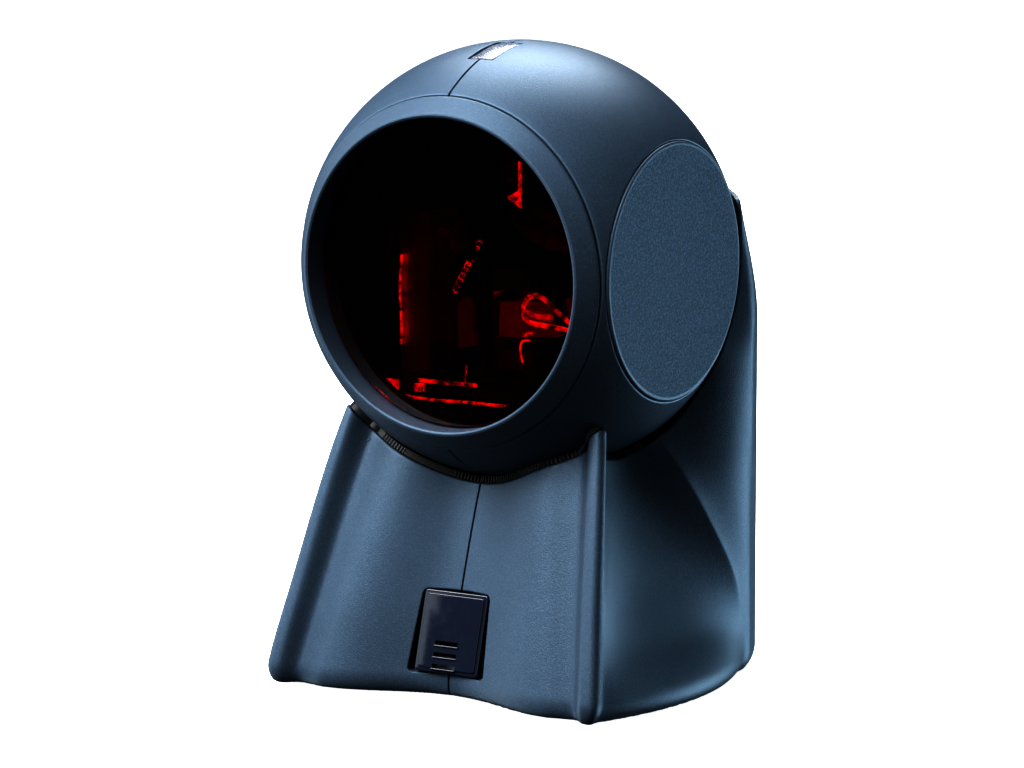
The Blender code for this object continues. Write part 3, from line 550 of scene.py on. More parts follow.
def closed_loop(*runs):
    """Joins open runs, each with one edge radius or one for each point, into one loop."""
    points, radii = [], []
    for line, radius in runs:
        points.append(line[:-1])
        radii.append(np.broadcast_to(radius, len(line))[:-1])
    return np.concatenate(points), np.concatenate(radii)


# -------- stand casing
def eased(t):
    return (1 - np.cos(np.pi * t)) / 2


def keyed(keys, z):
    """Smooth curves through the keys' values, read at the heights z."""
    keys = np.array(keys, float)
    heights, values = keys[:, 0], keys[:, 1:]
    last = len(keys) - 1
    before = np.maximum(np.arange(last + 1) - 1, 0)
    after = np.minimum(np.arange(last + 1) + 1, last)
    slopes = (values[after] - values[before]) / (heights[after] - heights[before])[:, None]
    i = np.clip(np.searchsorted(heights, z, side="right") - 1, 0, last - 1)
    span = (heights[i + 1] - heights[i])[:, None]
    t = np.clip((z - heights[i])[:, None] / span, 0, 1)
    return ((2 * t ** 3 - 3 * t ** 2 + 1) * values[i] + (t ** 3 - 2 * t ** 2 + t) * slopes[i] * span
            + (3 * t ** 2 - 2 * t ** 3) * values[i + 1] + (t ** 3 - t ** 2) * slopes[i + 1] * span).T


def stand_outline(z):
    """Right half of the stand's outline at each height, as x and y arrays: heights by points."""
    z = np.asarray(z, float)
    front_y = keyed(FRONT_Y, z)[0][:, None]
    lobe_x, lobe_y = (a[:, None] for a in keyed(LOBE, z))
    ridge_x, ridge_y, ridge_r = (a[:, None] for a in keyed(RIDGE, z))
    crease_x, crease_y = (a[:, None] for a in keyed(CREASE, z))
    bow = keyed(SCOOP, z)[0][:, None]
    ridge_in = ridge_x - ridge_r
    groove_x = lobe_x + GROOVE_SHARE * (ridge_in - lobe_x)
    groove_y = np.maximum(lobe_y, ridge_y) + GROOVE_DEPTH
    start_y = ridge_y + ridge_r

    def steps(count):
        return np.linspace(0, 1, count, endpoint=False)[None, :]

    t, runs = steps(70), []
    runs.append((lobe_x * t, front_y + (lobe_y - front_y) * eased(t)))
    t = steps(24)
    for x0, y0, x1, y1 in ((lobe_x, lobe_y, groove_x, groove_y), (groove_x, groove_y, ridge_in, ridge_y)):
        runs.append((x0 + (x1 - x0) * t, y0 + (y1 - y0) * eased(t)))
    a = steps(24) * pi / 2
    runs.append((ridge_in + ridge_r * np.sin(a) ** RIDGE_SQUARE,
                 ridge_y + ridge_r * (1 - np.cos(a) ** RIDGE_SQUARE)))
    t = steps(90)
    runs.append((ridge_x + (crease_x - ridge_x) * t - 4 * t * (1 - t) * bow,
                 start_y + (crease_y - start_y) * t))
    crease_at = sum(x.shape[1] for x, _ in runs)
    join = radians(JOIN_ANGLE)
    run_x = COLUMN_RX * cos(join) - crease_x
    run_y = COLUMN_Y + COLUMN_RY * sin(join) - crease_y
    t = steps(60)
    out = CREASE_BULGE * t * t * (1 - t)
    runs.append((crease_x + run_x * t + run_y * out, crease_y + run_y * t - run_x * out))
    a = join + (pi / 2 - join) * np.linspace(0, 1, 160)[None, :] + 0 * crease_x
    runs.append((COLUMN_RX * np.cos(a), COLUMN_Y + COLUMN_RY * np.sin(a)))
    x, y = (np.concatenate([run[k] for run in runs], axis=1) for k in (0, 1))
    x[:, -1] = 0
    reach = np.sqrt(x * x + y * y)
    rim_up = RIM_UP + RIM_SLOPE * (np.maximum(y, 10) - RIM_Y) * 0.8
    rise = (z[:, None] - SHOULDER_Z) / (HEAD.z + rim_up - SHOULDER_Z)
    rim_reach = np.sqrt((BALL_R + HOOD_PROUD) ** 2 - rim_up ** 2)
    drawn = (reach - (reach - rim_reach) * np.clip(rise, 0, None) ** 1.7) / np.maximum(reach, 1e-9)
    drawn[:, :crease_at + 1] = 1
    return x * drawn, y * drawn


def eased_corners(x, y, reach):
    """One outline with every corner rounded over this length each way, kept symmetric at both ends."""
    x = np.concatenate([-x[:0:-1], x, -x[-2::-1]])
    y = np.concatenate([y[:0:-1], y, y[-2::-1]])
    along = np.concatenate([[0], np.cumsum(np.hypot(np.diff(x), np.diff(y)))])
    count = (len(x) + 2) // 3
    keep = slice(count - 1, 2 * count - 1)
    out = []
    for values in (x, y):
        total = np.concatenate([[0], np.cumsum((values[1:] + values[:-1]) / 2 * np.diff(along))])
        high = np.interp(along[keep] + reach, along, total)
        low = np.interp(along[keep] - reach, along, total)
        out.append((high - low) / (2 * reach))
    return out


class StandSurface:
    """The stand's outer surface as a table over a flat map: length along the outline, and height."""

    def __init__(self):
        turn = np.linspace(pi / 2, 0, 12)
        foot = FOOT_Z + FOOT_ROUND_H - FOOT_ROUND_H * np.sin(turn)
        self.z = np.concatenate([foot, np.arange(foot[-1] + 0.75, 126, 0.75)])
        inset = np.concatenate([FOOT_ROUND_IN * (1 - np.cos(turn)), np.zeros(len(self.z) - len(foot))])
        raw_x, raw_y = stand_outline(self.z)
        rows = [eased_corners(x, y, 0.6) for x, y in zip(raw_x, raw_y)]
        x, y = (np.array([row[k] for row in rows]) for k in (0, 1))
        around = np.hypot(y, self.z[:, None] - HEAD.z) - DISC_R - DISC_CLEAR
        dish = DISC_FACE + 0.1 + DISC_DISH * around
        share = np.clip(0.5 + 0.5 * (dish - x) / DISH_BLEND, 0, 1)
        x = x * share + dish * (1 - share) - DISH_BLEND * share * (1 - share)
        broad = [eased_corners(*outline, 5.0) for outline in zip(raw_x, raw_y)]
        dx, dy = (np.gradient(np.array([row[k] for row in broad]), axis=1) for k in (0, 1))
        long = np.hypot(dx, dy)
        x, y = x - dy / long * inset[:, None], y + dx / long * inset[:, None]
        x[:, 0] = x[:, -1] = 0
        self.at = np.stack([x, y, np.broadcast_to(self.z[:, None], x.shape)], 2)
        self.normal = unit(np.cross(np.gradient(self.at, axis=1), np.gradient(self.at, axis=0)))
        middle = np.argmin(abs(self.z - 30))
        steps = np.linalg.norm(np.diff(self.at[middle], axis=0), axis=1)
        self.u = np.concatenate([[0], np.cumsum(steps)])
        slope_x, slope_y = (np.gradient(self.at[middle, :, k]) for k in (0, 1))
        heading = np.unwrap(np.arctan2(slope_y, slope_x))
        self.turning = np.concatenate([[0], np.cumsum(abs(np.diff(heading)))])

    def __call__(self, q):
        column = np.interp(q[:, 0], self.u, np.arange(len(self.u)))
        row = np.interp(q[:, 1], self.z, np.arange(len(self.z)))
        c = np.minimum(column.astype(int), len(self.u) - 2)
        r = np.minimum(row.astype(int), len(self.z) - 2)
        a, b = (column - c)[:, None], (row - r)[:, None]
        out = []
        for table in (self.at, self.normal):
            out.append((table[r, c] * (1 - a) + table[r, c + 1] * a) * (1 - b)
                       + (table[r + 1, c] * (1 - a) + table[r + 1, c + 1] * a) * b)
        return out[0], unit(out[1])

    def columns(self, spacing, bend):
        """Map positions no further apart than spacing, or than this much turning of the outline."""
        weight = self.u / spacing + self.turning / bend
        count = int(weight[-1])
        return np.interp(np.linspace(0, weight[-1], count + 1), weight, self.u)

    def top(self, u):
        """Height at which the surface runs into the cradle, the side disc's clearance or the hood's rim."""
        count = len(u)
        heights = np.arange(20, 125, 0.5)
        q = np.stack([np.repeat(u, len(heights)), np.tile(heights, count)], 1)
        at, _ = self(q)
        x, y, z = at.T
        cradle = np.sqrt(x * x + y * y + (z - HEAD.z + CRADLE_DROP) ** 2) - CRADLE_R
        beside = np.clip((x - 35) / 4, 0, 1) * np.clip(y / 4, 0, 1)
        cradle += beside * (np.sqrt(x * x + y * y + (z - HEAD.z) ** 2) - BALL_R - 0.6 - cradle)
        disc = np.maximum(np.hypot(y, z - HEAD.z) - DISC_R - DISC_CLEAR, 36 - x)
        rim = HEAD.z + RIM_UP + RIM_SLOPE * (y - RIM_Y) - z
        clear = np.minimum(np.minimum(cradle, disc), rim).reshape(count, -1)
        hit = (clear < 0).argmax(1)
        above, below = clear[np.arange(count), hit], clear[np.arange(count), hit - 1]
        return heights[hit - 1] + 0.5 * below / (below - above)


def stand_wall(at, normal):
    """The inside of the stand's wall, cut back to the cradle where the head would touch it."""
    flat = normal.copy()
    flat[:, 2] *= np.clip((at[:, 2] - 6) / 6, 0, 1)
    flat = unit(flat)
    out = at - np.array([0, 0, HEAD.z - CRADLE_DROP])
    along = np.sum(out * flat, 1)
    gap = along ** 2 - (np.sum(out * out, 1) - CRADLE_R ** 2)
    to_cradle = np.where((gap > 0) & (along > 0), along - np.sqrt(np.clip(gap, 0, None)), STAND_WALL)
    return at - flat * np.clip(to_cradle, 0.55, STAND_WALL)[:, None]


def make_stand():
    surface = StandSurface()
    end = surface.u[-1] - SEAM
    u = np.linspace(SEAM, end, 900)
    trim = smoothed(resampled(np.stack([u, surface.top(u)], 1), 0.45), 5)
    trim_radius = np.where(surface(trim)[0][:, 0] > 37, 0.25, 0.5)
    plate_reach = PLATE_H / 2 * cos(PLATE_LEAN) + 0.25
    plate_low, plate_high = PLATE_Z - plate_reach, PLATE_Z + plate_reach
    plate_side = PLATE_W / 2 + GAP
    socket_side = surface.u[-1] - SOCKET_NOTCH[0]
    socket_low, socket_high = SOCKET_Z - SOCKET_NOTCH[1], SOCKET_Z + SOCKET_NOTCH[1]
    front_notch = [(SEAM, plate_high), (plate_side - 1.0, plate_high), (plate_side - 0.3, plate_high - 0.3),
                   (plate_side, plate_high - 1.0), (plate_side, plate_low + 1.0),
                   (plate_side - 0.3, plate_low + 0.3), (plate_side - 1.0, plate_low), (SEAM, plate_low)]
    rear_notch = [(end, socket_low), (socket_side, socket_low), (socket_side, socket_high),
                  (end, socket_high)]
    loop = closed_loop(
        (resampled([(SEAM, FOOT_Z), (end, FOOT_Z)], 0.8), 0.0),
        (resampled([(end, FOOT_Z), rear_notch[0]], 0.5), SEAM_EDGE),
        (resampled(rear_notch, 0.5), 0.3),
        (resampled([rear_notch[-1], tuple(trim[-1])], 0.5), SEAM_EDGE),
        (trim[::-1], trim_radius[::-1]),
        (resampled([tuple(trim[0]), front_notch[0]], 0.5), SEAM_EDGE),
        (resampled(front_notch, 0.4), 0.3),
        (resampled([front_notch[-1], (SEAM, FOOT_Z)], 0.5), SEAM_EDGE))

    def grid(columns, heights):
        return np.stack([a.ravel() for a in np.meshgrid(columns, heights)], 1)

    rows = np.concatenate([surface.z[:12], np.arange(6.5, 122, 1.5)])
    fine = grid(surface.columns(1.3, radians(5)), rows)
    coarse = grid(surface.columns(5, radians(25)), np.arange(4, 122, 5))
    parts = skin([loop], fine, coarse, surface, stand_wall)
    pair("stand_casing", parts, AXIS, "stand", "stand_shell")
    make_cradle_liner(surface, trim)
    make_stand_laps(surface)
    return surface


def bar_faces(stations):
    """Faces of a bar made of rings of four points, with both ends closed."""
    count = 4 * stations
    faces = [(0, 1, 2, 3), (count - 1, count - 2, count - 3, count - 4)]
    for i in range(0, count - 4, 4):
        for k in range(4):
            j = (k + 1) % 4
            faces.append((i + k, i + j, i + 4 + j, i + 4 + k))
    return faces


def seam_lap(name, outside, inside, body, origin):
    """A strip behind a casing seam, to close off the light that would show through it."""
    verts = []
    for near, far in zip(outside, inside):
        verts += [(-LAP_HALF, *near), (LAP_HALF, *near), (LAP_HALF, *far), (-LAP_HALF, *far)]
    piece(name, np.array(verts) + np.array(origin), bar_faces(len(outside)), body, "black")


def make_stand_laps(surface):
    """Strips behind the stand's two seams, each ending where it would reach into the head's cradle."""
    for name, u, (low, high) in (("front", 0.0, LAP_FRONT), ("rear", surface.u[-1], LAP_REAR)):
        z = np.arange(low, high, 1.0)
        at, normal = surface(np.stack([np.full(len(z), u), z], 1))
        near, far = (at - normal * (STAND_WALL + depth) for depth in LAP_DEPTHS)
        clear = np.linalg.norm(far - np.array([0, 0, HEAD.z - CRADLE_DROP]), axis=1) > CRADLE_R + 0.1
        count = len(z) if clear.all() else np.argmin(clear)
        seam_lap(f"stand_seam_lap_{name}", near[:count, 1:], far[:count, 1:], "stand", AXIS)


def make_cradle_liner(surface, trim):
    """Dark toothed strips inside the cradle's front edge that close the gap under the head, black rather than
    the casing's slate: painted shade for the dark gap.
    """
    lip, _ = surface(resampled(trim, 0.25))
    lip = lip - np.array([0, 0, HEAD.z])
    lip = lip[:np.argmax((lip[:, 0] > LINER_END[0]) & (lip[:, 1] > LINER_END[1]))]
    out = unit(lip)
    down = unit(np.array([0, 0, -1.0]) + out * out[:, 2:3])
    tooth = np.where(np.arange(len(lip)) % 4 < 2, *LINER_TEETH)
    rings = []
    for arc, outer in ((tooth, False), (tooth, True), (LINER_DEPTH, True), (LINER_DEPTH, False)):
        turn = (arc / BALL_R + 0 * tooth)[:, None]
        way = out * np.cos(turn) + down * np.sin(turn)
        rise = way[:, 2:3]
        reach = np.sqrt(CRADLE_DROP ** 2 * (rise ** 2 - 1) + CRADLE_R ** 2) - CRADLE_DROP * rise - 0.2
        rings.append(way * (reach if outer else BALL_R + 0.4))
    verts = np.stack(rings, 1).reshape(-1, 3)
    for side, sign in (("right", 1), ("left", -1)):
        placed = verts * np.array([sign, 1, 1]) + np.array(HEAD)
        piece(f"cradle_liner_{side}", placed, bar_faces(len(lip)), "stand", "black")


# -------- head casing
def ball_surface(q):
    """The head, mapped flat about its right side: distance and bearing from the tilt axis."""
    polar = np.hypot(q[:, 0], q[:, 1]) / BALL_R
    bearing = np.arctan2(q[:, 1], q[:, 0])
    normal = np.stack([np.cos(polar), np.sin(polar) * np.cos(bearing), np.sin(polar) * np.sin(bearing)], 1)
    return normal * BALL_R, normal


def ball_map(points):
    """The flat map's place for points on the head."""
    way = unit(np.asarray(points, float))
    polar = np.arccos(np.clip(way[:, 0], -1, 1)) * BALL_R
    bearing = np.arctan2(way[:, 2], way[:, 1])
    return np.stack([polar * np.cos(bearing), polar * np.sin(bearing)], 1)


def on_ball(x, y, up=1):
    """The point of the head above or below x, y."""
    return np.array([x, y, up * sqrt(BALL_R ** 2 - x * x - y * y)])


def make_head():
    seam_r = sqrt(BALL_R ** 2 - SEAM ** 2)
    front = acos(GROOVE_D / seam_r)                 # the groove, as an angle up from straight ahead

    def seam_run(start, stop):
        """Along the middle seam, between angles up from straight ahead, over the top and round the back."""
        a = np.linspace(start, stop, max(3, int(abs(stop - start) * BALL_R / 0.5)))
        return ball_map(np.stack([np.full(len(a), SEAM), -seam_r * np.cos(a), seam_r * np.sin(a)], 1))

    half = STATUS_W / 2 + GAP
    near, far = STATUS_FRONT - GAP, STATUS_REAR + GAP
    notch = [on_ball(SEAM, near), on_ball(half, near), on_ball(half, far), on_ball(SEAM, far)]
    notch = ball_map(resampled(notch, 0.4))
    angle = [acos(-y / seam_r) for y in (near, far)]
    a = np.linspace(0, pi, 300)
    groove_r = sqrt(BALL_R ** 2 - GROOVE_D ** 2)
    arc = np.stack([groove_r * np.sin(a), np.full(len(a), -GROOVE_D), groove_r * np.cos(a)], 1)
    arc = arc[arc[:, 0] > SEAM]
    arc = ball_map(np.concatenate([[on_ball(SEAM, -GROOVE_D)], arc, [on_ball(SEAM, -GROOVE_D, -1)]]))
    outer = closed_loop((seam_run(front, angle[0]), SEAM_EDGE), (notch, 0.25),
                        (seam_run(angle[1], 2 * pi - front), SEAM_EDGE), (arc[::-1], 0.45))
    seat = np.linspace(0, 2 * pi, 380, endpoint=False)
    seat_r = np.arcsin((DISC_R + GAP) / BALL_R) * BALL_R
    hole = np.stack([np.cos(seat), np.sin(seat)], 1) * seat_r

    def grid(spacing):
        rings = []
        for r in np.arange(seat_r + spacing * 0.7, BALL_R * pi / 2, spacing):
            count = int(2 * pi * BALL_R * sin(r / BALL_R) / spacing)
            b = np.linspace(0, 2 * pi, count, endpoint=False)
            rings.append(np.stack([np.cos(b), np.sin(b)], 1) * r)
        return np.concatenate(rings)

    def wall(at, normal):
        return at - normal * HEAD_WALL

    parts = skin([outer, (hole, np.full(len(hole), 0.4))], grid(1.25), grid(5.0), ball_surface, wall)
    pair("head_casing", parts, HEAD, "head", "head_shell")
    a = np.radians(np.arange(*LAP_HEAD, 2.0))
    rings = [np.stack([-np.cos(a), np.sin(a)], 1) * (BALL_R - HEAD_WALL - depth) for depth in LAP_DEPTHS]
    seam_lap("head_seam_lap", *rings, "head", HEAD)


TO_FRONT = Matrix.Rotation(pi / 2, 4, "X")


def make_bezel_and_window():
    profile = [(35.8, LIP_D - 0.3), (36.3, LIP_D), (36.8, LIP_D - 0.15), (40.15, GROOVE_D + 1.0),
               (40.45, GROOVE_D + 0.45), (37.7, GROOVE_D + 0.4), (37.7, 26.0), (WINDOW_R + GAP, 26.0)]
    profile = rounded(profile, [0.25, 0.35, 0.5, 0.35, 0.15, 0, 0, 0.1], 6)
    turned("window_bezel", profile, Matrix.Translation(HEAD) @ TO_FRONT, "head", "slate", ["bezel_ring"], 200)
    back = WINDOW_D - WINDOW_T
    profile = [(0, WINDOW_D), (WINDOW_R - 0.2, WINDOW_D), (WINDOW_R, WINDOW_D - 0.2), (WINDOW_R, back + 0.2),
               (WINDOW_R - 0.2, back), (0, back)]
    turned("red_window", profile, Matrix.Translation(HEAD) @ TO_FRONT, "head", "window", ["scan_window"], 160)


def make_side_discs():
    rim = 0.45
    profile = [(0, DISC_T), (DISC_R - 1.1, DISC_T), (DISC_R - 0.9, DISC_T + 0.02)]
    profile += [(DISC_R - rim + rim * sin(a), DISC_T - rim + rim * cos(a)) for a in np.linspace(0, pi / 2, 7)]
    profile += [(DISC_R, 0), (0, 0)]
    for side, sign in (("left", -1), ("right", 1)):
        place = Vector((sign * (DISC_FACE - DISC_T), 0, 0))
        matrix = Matrix.Translation(HEAD + place) @ Matrix.Rotation(sign * pi / 2, 4, "Y")
        turned(f"textured_disc_{side}", profile, matrix, "head", ["speckled", "slate"],
               [f"side_disc_{side}"], 180,
               lambda middle: Vector((middle.x, middle.y)).length > DISC_R - 0.85)


# -------- front plate, status window, socket, feet
def make_front_plate(surface):
    """A glossy plate with a raised inner panel and three louvres, each with a lip under it."""
    frame_part = slab(box_outline(PLATE_W, PLATE_H, 0.9, 5), -1.0, 0.9, 0.3, 4)
    panel = slab(box_outline(PLATE_W - 1.7, PLATE_H - 1.7, 0.6, 5), 0.5, 1.25, 0.22, 4)
    for part in (frame_part, panel):
        bmesh.ops.triangulate(part, faces=[f for f in part.faces if len(f.verts) > 4])
    louvres = [Matrix.Translation((-0.6, -2.6 - 2.7 * i, 0)) for i in range(3)]

    def slots():
        return [moved(slab(box_outline(6.2, 0.95, 0.3, 3), -3, 3), at) for at in louvres]

    lips = [moved(slab(box_outline(6.6, 0.42, 0.2, 3, (0, -0.72)), 1.0, 1.55, 0.18, 3), at) for at in louvres]
    frame_part, panel = carve(frame_part, *slots()), carve(panel, *slots())
    plate = join(frame_part, panel, *lips)
    at, _ = surface(np.array([[0.0, PLATE_Z]]))
    place = AXIS + Vector((0, at[0][1] - PLATE_AHEAD, PLATE_Z))
    turn = Matrix.Rotation(PLATE_LEAN, 4, "X") @ TO_FRONT
    place_piece("glossy_plate", mesh_of(moved(plate, Matrix.Translation(place) @ turn)), "stand", "gloss",
                ["front_plate"])


def make_status_window():
    """A clear lens in the ball's crown, in three shallow pillows, with a grey bar under the middle one."""
    half, long = STATUS_W / 2, (STATUS_REAR - STATUS_FRONT) / 2
    middle = (STATUS_FRONT + STATUS_REAR) / 2

    def on_crown(bm, lift):
        bmesh.ops.triangulate(bm, faces=[f for f in bm.faces if len(f.verts) > 4])
        for _ in range(2):
            long_edges = [e for e in bm.edges if e.calc_length() > 1.2]
            bmesh.ops.subdivide_edges(bm, edges=long_edges, cuts=1, use_grid_fill=True)
        for vert in bm.verts:
            x, y, z = vert.co.x, vert.co.y + middle, vert.co.z
            rise = lift(x, y - middle) * (z > -0.5)
            vert.co = Vector((x, y, sqrt(BALL_R ** 2 - x * x - y * y))) * (1 + (z + rise) / BALL_R)
        return moved(bm, Matrix.Translation(HEAD))

    def pillows(x, y):
        return -0.35 * abs(sin(1.5 * pi * (y + long) / (2 * long))) ** 0.5 + 0.25 * (1 - (x / half) ** 2)

    lens = on_crown(slab(box_outline(STATUS_W, 2 * long, 0.7, 4), -2.2, 0.0, 0.3, 3), pillows)
    place_piece("status_lens", mesh_of(lens), "head", "clear", ["status_window"])
    bar = slab(box_outline(STATUS_W - 1.4, 2.2, 0.5, 4, (0, 1.0)), -2.75, -2.4, 0.1, 2)
    place_piece("status_bar", mesh_of(on_crown(bar, lambda x, y: 0)), "head", "black")


def tube(name, route, radius, finish, flat=1.0, body="head"):
    """A lead or rod through points given from the head's centre; flat below 1 makes it a ribbon."""
    curve = bpy.data.curves.new(name, "CURVE")
    curve.dimensions = "3D"
    curve.bevel_depth = radius * MM
    curve.bevel_resolution = 5
    curve.use_fill_caps = True
    spline = curve.splines.new("NURBS")
    spline.points.add(len(route) - 1)
    spline.use_endpoint_u = True
    spline.order_u = min(4, len(route))
    for point, co in zip(spline.points, route):
        point.co = (*(Vector(co) * MM), 1)
    source = linked(name, curve)
    bpy.context.view_layer.update()
    bm = baked(source)
    bpy.data.objects.remove(source, do_unlink=True)
    bmesh.ops.scale(bm, vec=(1, flat, 1), verts=bm.verts, space=Matrix.Translation(-Vector(route[0])))
    place_piece(name, mesh_of(moved(bm, Matrix.Translation(HEAD))), body, finish)


def block(size, at, edge=0.25, turn=0.0):
    """A small part with rounded edges, centred at a point from the head's centre."""
    bm = slab(box_outline(size[0], size[1], edge, 3), -size[2] / 2, size[2] / 2, edge, 2)
    return moved(bm, Matrix.Translation(HEAD + Vector(at)) @ Matrix.Rotation(turn, 4, "Z"))


def make_optics_details():
    """Small fittings seen through the red window: edge rail, connectors, leads, spring, clip, most of them
    glowing with painted red glints.
    """
    place_piece("bench_rail", mesh_of(join(
        block((15.8, 0.9, 0.9), (-4.2, -24.3, -26.2), 0.3),
        block((4.0, 1.8, 2.3), (-19.4, -25.0, -27.6), 0.3),
        block((2.1, 1.6, 1.9), (-11.3, -25.2, -27.7), 0.3))), "head", "laser_lit")
    tube("front_lead", [(-20, -24.6, -29.3), (-18, -25.0, -29.8), (-12, -25.2, -30.3), (-6, -25.2, -30.4),
                        (2, -25.2, -30.0), (9, -25.2, -30.2), (16.5, -25.0, -30.2)], 0.36, "laser_lit")
    tube("bench_pin", [(-2.3, -20, -27), (-2.1, -20, -25), (-1.7, -20, -22.6)], 0.25, "laser_lit")
    tube("laser_lead", [(-23.6, -13.8, 1), (-24.2, -13.9, -5), (-23.9, -14.0, -11), (-23.5, -14.0, -16),
                        (-23.8, -13.9, -20)], 0.34, "laser_lit")
    turns = [k / 8 for k in range(73)]
    start, stop = Vector((-1.6, -14.8, 5.4)), Vector((-8.6, -14.4, -6.4))
    coils = [Vector((0.75 * cos(2 * pi * t), 0, 0.75 * sin(2 * pi * t))) for t in turns]
    tube("mirror_spring", [tuple(start.lerp(stop, t / 9) + coil) for t, coil in zip(turns, coils)],
         0.15, "laser_lit")
    tube("ribbon_loop", [(24, -15.5, -13.2), (20, -16, -12.7), (15.5, -16.2, -12.4), (11.5, -16.2, -12.0),
                         (10.4, -16.2, -9.5), (11.8, -16.2, -6.2), (14.6, -16.2, -5.4), (17.4, -16.2, -6.6),
                         (20, -16, -9.2), (24, -15.5, -11.8)], 0.6, "laser_lit", 0.25)
    tube("sensor_lead", [(12.9, -16, -16.2), (11.2, -16.1, -16.0), (10.2, -16.1, -16.8), (10.3, -16, -19.5),
                         (10.8, -15.6, -21.5)], 0.25, "laser_lit")
    clip = slab(rounded([(-1.7, 0.4), (1.5, 2.3), (1.9, -2.4)], 0.3, 3), -0.2, 0.2, 0.1, 2)
    stalk = slab(box_outline(0.9, 10.5, 0.3, 3, (1.4, 6.2)), -0.2, 0.2, 0.1, 2)
    place = Matrix.Translation(HEAD + Vector((6.2, -12.2, 15.6))) @ Matrix.Rotation(0.5, 4, "Z") @ TO_FRONT
    place_piece("mirror_clip", mesh_of(moved(join(clip, stalk), place)), "head", "laser_lit")
    place_piece("signal_chip", mesh_of(block((5.0, 4.0, 1.6), (2.4, -15.5, -26.0), 0.15)), "head", "black")


def make_socket():
    face = AXIS.y + SOCKET_FACE
    body = slab(box_outline(16, 13, 0.5, 3), 0, 16, 0.25, 2)
    mouth = slab(box_outline(SOCKET_W, SOCKET_H, 0.3, 2), -2, 12)
    latch = moved(slab(box_outline(4.4, 3.2, 0.2, 2), -2, 12), Matrix.Translation((0, -SOCKET_H / 2, 0)))
    body = carve(body, mouth, latch)
    matrix = Matrix.Translation((0, face, SOCKET_Z)) @ Matrix.Rotation(pi / 2, 4, "X")
    place_piece("modular_socket", mesh_of(moved(body, matrix)), "stand", "black", ["cable_socket"])
    pins = []
    for i in range(10):
        pin = slab(rounded([(-0.2, 2.2), (0.2, 2.2), (0.2, 4.2), (-0.2, 4.2)], 0.1, 2), 1.2, 11.5)
        for vert in pin.verts:
            if vert.co.z > 6:
                vert.co.y -= 2.4
        pins.append(moved(pin, Matrix.Translation(((i - 4.5) * 1.02, 0, 0))))
    place_piece("socket_contacts", mesh_of(moved(join(*pins), matrix)), "stand", "brass")


def make_feet():
    for node in [n for n in frame["nodes"] if n.startswith("rubber_foot")]:
        low, high = (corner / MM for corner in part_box(node))
        r, h = (high.x - low.x) / 2, high.z - low.z
        profile = rounded([(0, h), (r, h), (r, 0), (r - 1.0, 0), (r - 1.3, 0.12), (0, 0.12)],
                          [0, 0.15, 0.35, 0.1, 0.05, 0], 4)
        place = Matrix.Translation(((low.x + high.x) / 2, (low.y + high.y) / 2, low.z))
        turned(node.replace("rubber_foot", "foot_pad"), profile, place, "stand", "rubber", [node], 64)


# -------- what stays from the CAD
KEPT = {
    "black": ("bottom_plate", "speaker", "optical_bench", "beeper", "head_harness", "stand_harness"),
    "rubber": ("window_gasket",),
    "steel": ("base_screw", "head_case_screw", "stand_case_screw", "bench_screw", "arm_screw", "pivot_pin",
              "spin_motor", "ballast_plate"),
    "mirror": ("pattern_mirror", "collector_mirror", "fold_mirror", "polygon_mirror"),
    "aluminium": ("pivot_arm", "laser_heat_sink"),
    "brass": ("friction_washer", "rotor_shaft", "laser_barrel"),
    "board": ("main_board", "detector_board", "status_board", "motor_board", "interface_board"),
    "clear": ("status_lamp",),
    "filter": ("detector_filter",),
}


def finish_kept():
    for kind, names in KEPT.items():
        for node, obj in frame["nodes"].items():
            if node.startswith(names):
                obj.data.materials.clear()
                obj.data.materials.append(FINISH[kind])


# -------- camera, floor and light
VIEW_AZIMUTH, VIEW_ELEVATION = 32.15, 7.24      # degrees: from the front towards +x, and up
VIEW_DISTANCE = 1110.0
VIEW_LENS = 167.8
AIM_DOWN, AIM_LEFT = 29.05, 2.05                # the point looked at, from the head's centre


def aimed(obj, place, target):
    """Puts a camera or light at a place, looking at the target."""
    obj.location = place
    obj.rotation_mode = "QUATERNION"
    obj.rotation_quaternion = (target - place).to_track_quat("-Z", "Y")


def make_camera():
    a, e = radians(VIEW_AZIMUTH), radians(VIEW_ELEVATION)
    back = Vector((sin(a) * cos(e), -cos(a) * cos(e), sin(e)))
    right = Vector((cos(a), sin(a), 0))
    up = back.cross(right)
    data = bpy.data.cameras.new("camera")
    data.lens = VIEW_LENS
    data.clip_start, data.clip_end = 0.05, 50
    camera = linked("camera", data)
    aimed(camera, (HEAD + back * VIEW_DISTANCE) * MM, (HEAD - up * AIM_DOWN - right * AIM_LEFT) * MM)
    bpy.context.scene.camera = camera
    return right, up, back


def area_light(name, direction, size, power, colour):
    """A square light aimed at the head's centre."""
    data = bpy.data.lights.new(name, "AREA")
    data.shape = "RECTANGLE"
    data.size = data.size_y = size
    data.energy = power
    data.color = colour
    aimed(linked(name, data), HEAD * MM + direction * LIGHT_DISTANCE, HEAD * MM)


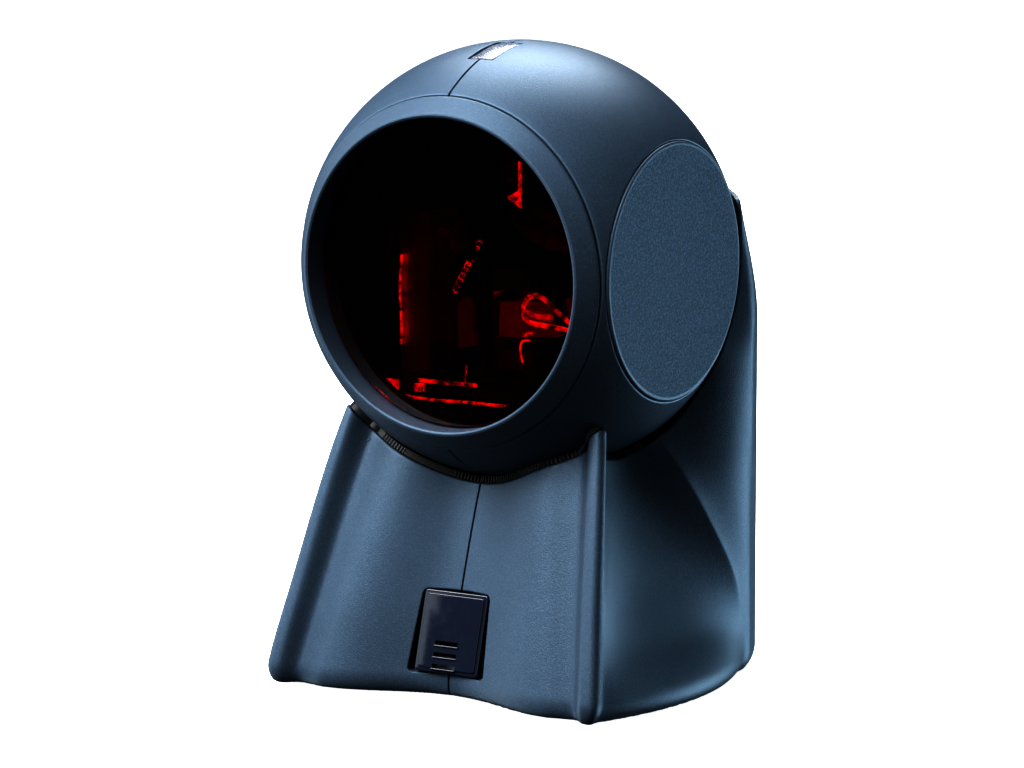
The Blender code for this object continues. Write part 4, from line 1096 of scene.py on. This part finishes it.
# Each light: its name, the way to it (right, up and back of the view), its size, power and colour.
LIGHTS = (
    ("key", (-0.56, 0.72, 0.41), 0.9, 60, (1.0, 1.0, 1.0)),
    ("top_back", (0.06, 0.87, -0.49), 0.6, 20, (0.85, 0.93, 1.0)),
    ("left", (-0.93, 0.30, -0.20), 1.2, 17, (0.85, 0.94, 1.0)),
    ("right_back", (0.88, -0.22, -0.42), 0.6, 12.5, (0.55, 0.81, 1.0)),
    ("low_left_back", (-0.78, -0.42, -0.45), 0.6, 4, (0.75, 0.90, 1.0)),
    ("front", (-0.20, 0.10, 0.97), 0.6, 2, (1.0, 1.0, 1.0)),
)
LIGHT_DISTANCE = 1.0
WORLD_GLOW = 0.03
FLOOR_SIZE, BACKDROP_R = 40, 18         # metres
VIEW_CONTRAST = 1.5


def make_studio(right, up, back):
    """A glowing white floor and backdrop, seen by the camera only, and soft lights around the object."""
    n = Nodes("paper")
    n.finish(Base_Color=(0.92, 0.93, 0.95, 1), Roughness=0.9)
    n.shader.inputs["Emission Color"].default_value = (1, 1, 1, 1)
    n.shader.inputs["Emission Strength"].default_value = 1.0
    bpy.ops.mesh.primitive_plane_add(size=FLOOR_SIZE, location=(0, 0, 0))
    floor = bpy.context.object
    floor.name = "floor"
    bpy.ops.mesh.primitive_uv_sphere_add(segments=48, ring_count=24, radius=BACKDROP_R)
    backdrop = bpy.context.object
    backdrop.name = "backdrop"
    for sheet in (floor, backdrop):
        sheet.visible_glossy = sheet.visible_diffuse = False
        sheet.visible_transmission = sheet.visible_shadow = False
        sheet.data.materials.append(n.material)
    world = bpy.data.worlds.new("studio")
    world.use_nodes = True
    world.node_tree.nodes["Background"].inputs["Color"].default_value = (0.90, 0.95, 1.0, 1)
    world.node_tree.nodes["Background"].inputs["Strength"].default_value = WORLD_GLOW
    scene = bpy.context.scene
    scene.world = world
    for name, (r, u, b), size, power, colour in LIGHTS:
        direction = (right * r + up * u + back * b).normalized()
        area_light(name, direction, size, power, colour)
    scene.view_settings.view_transform = "Standard"
    scene.view_settings.gamma = 1 / VIEW_CONTRAST


# -------- assembly
VIEW = make_camera()
make_studio(*VIEW)
STAND_SURFACE = make_stand()
make_head()
make_bezel_and_window()
make_side_discs()
make_front_plate(STAND_SURFACE)
make_status_window()
make_optics_details()
make_socket()
make_feet()
finish_kept()
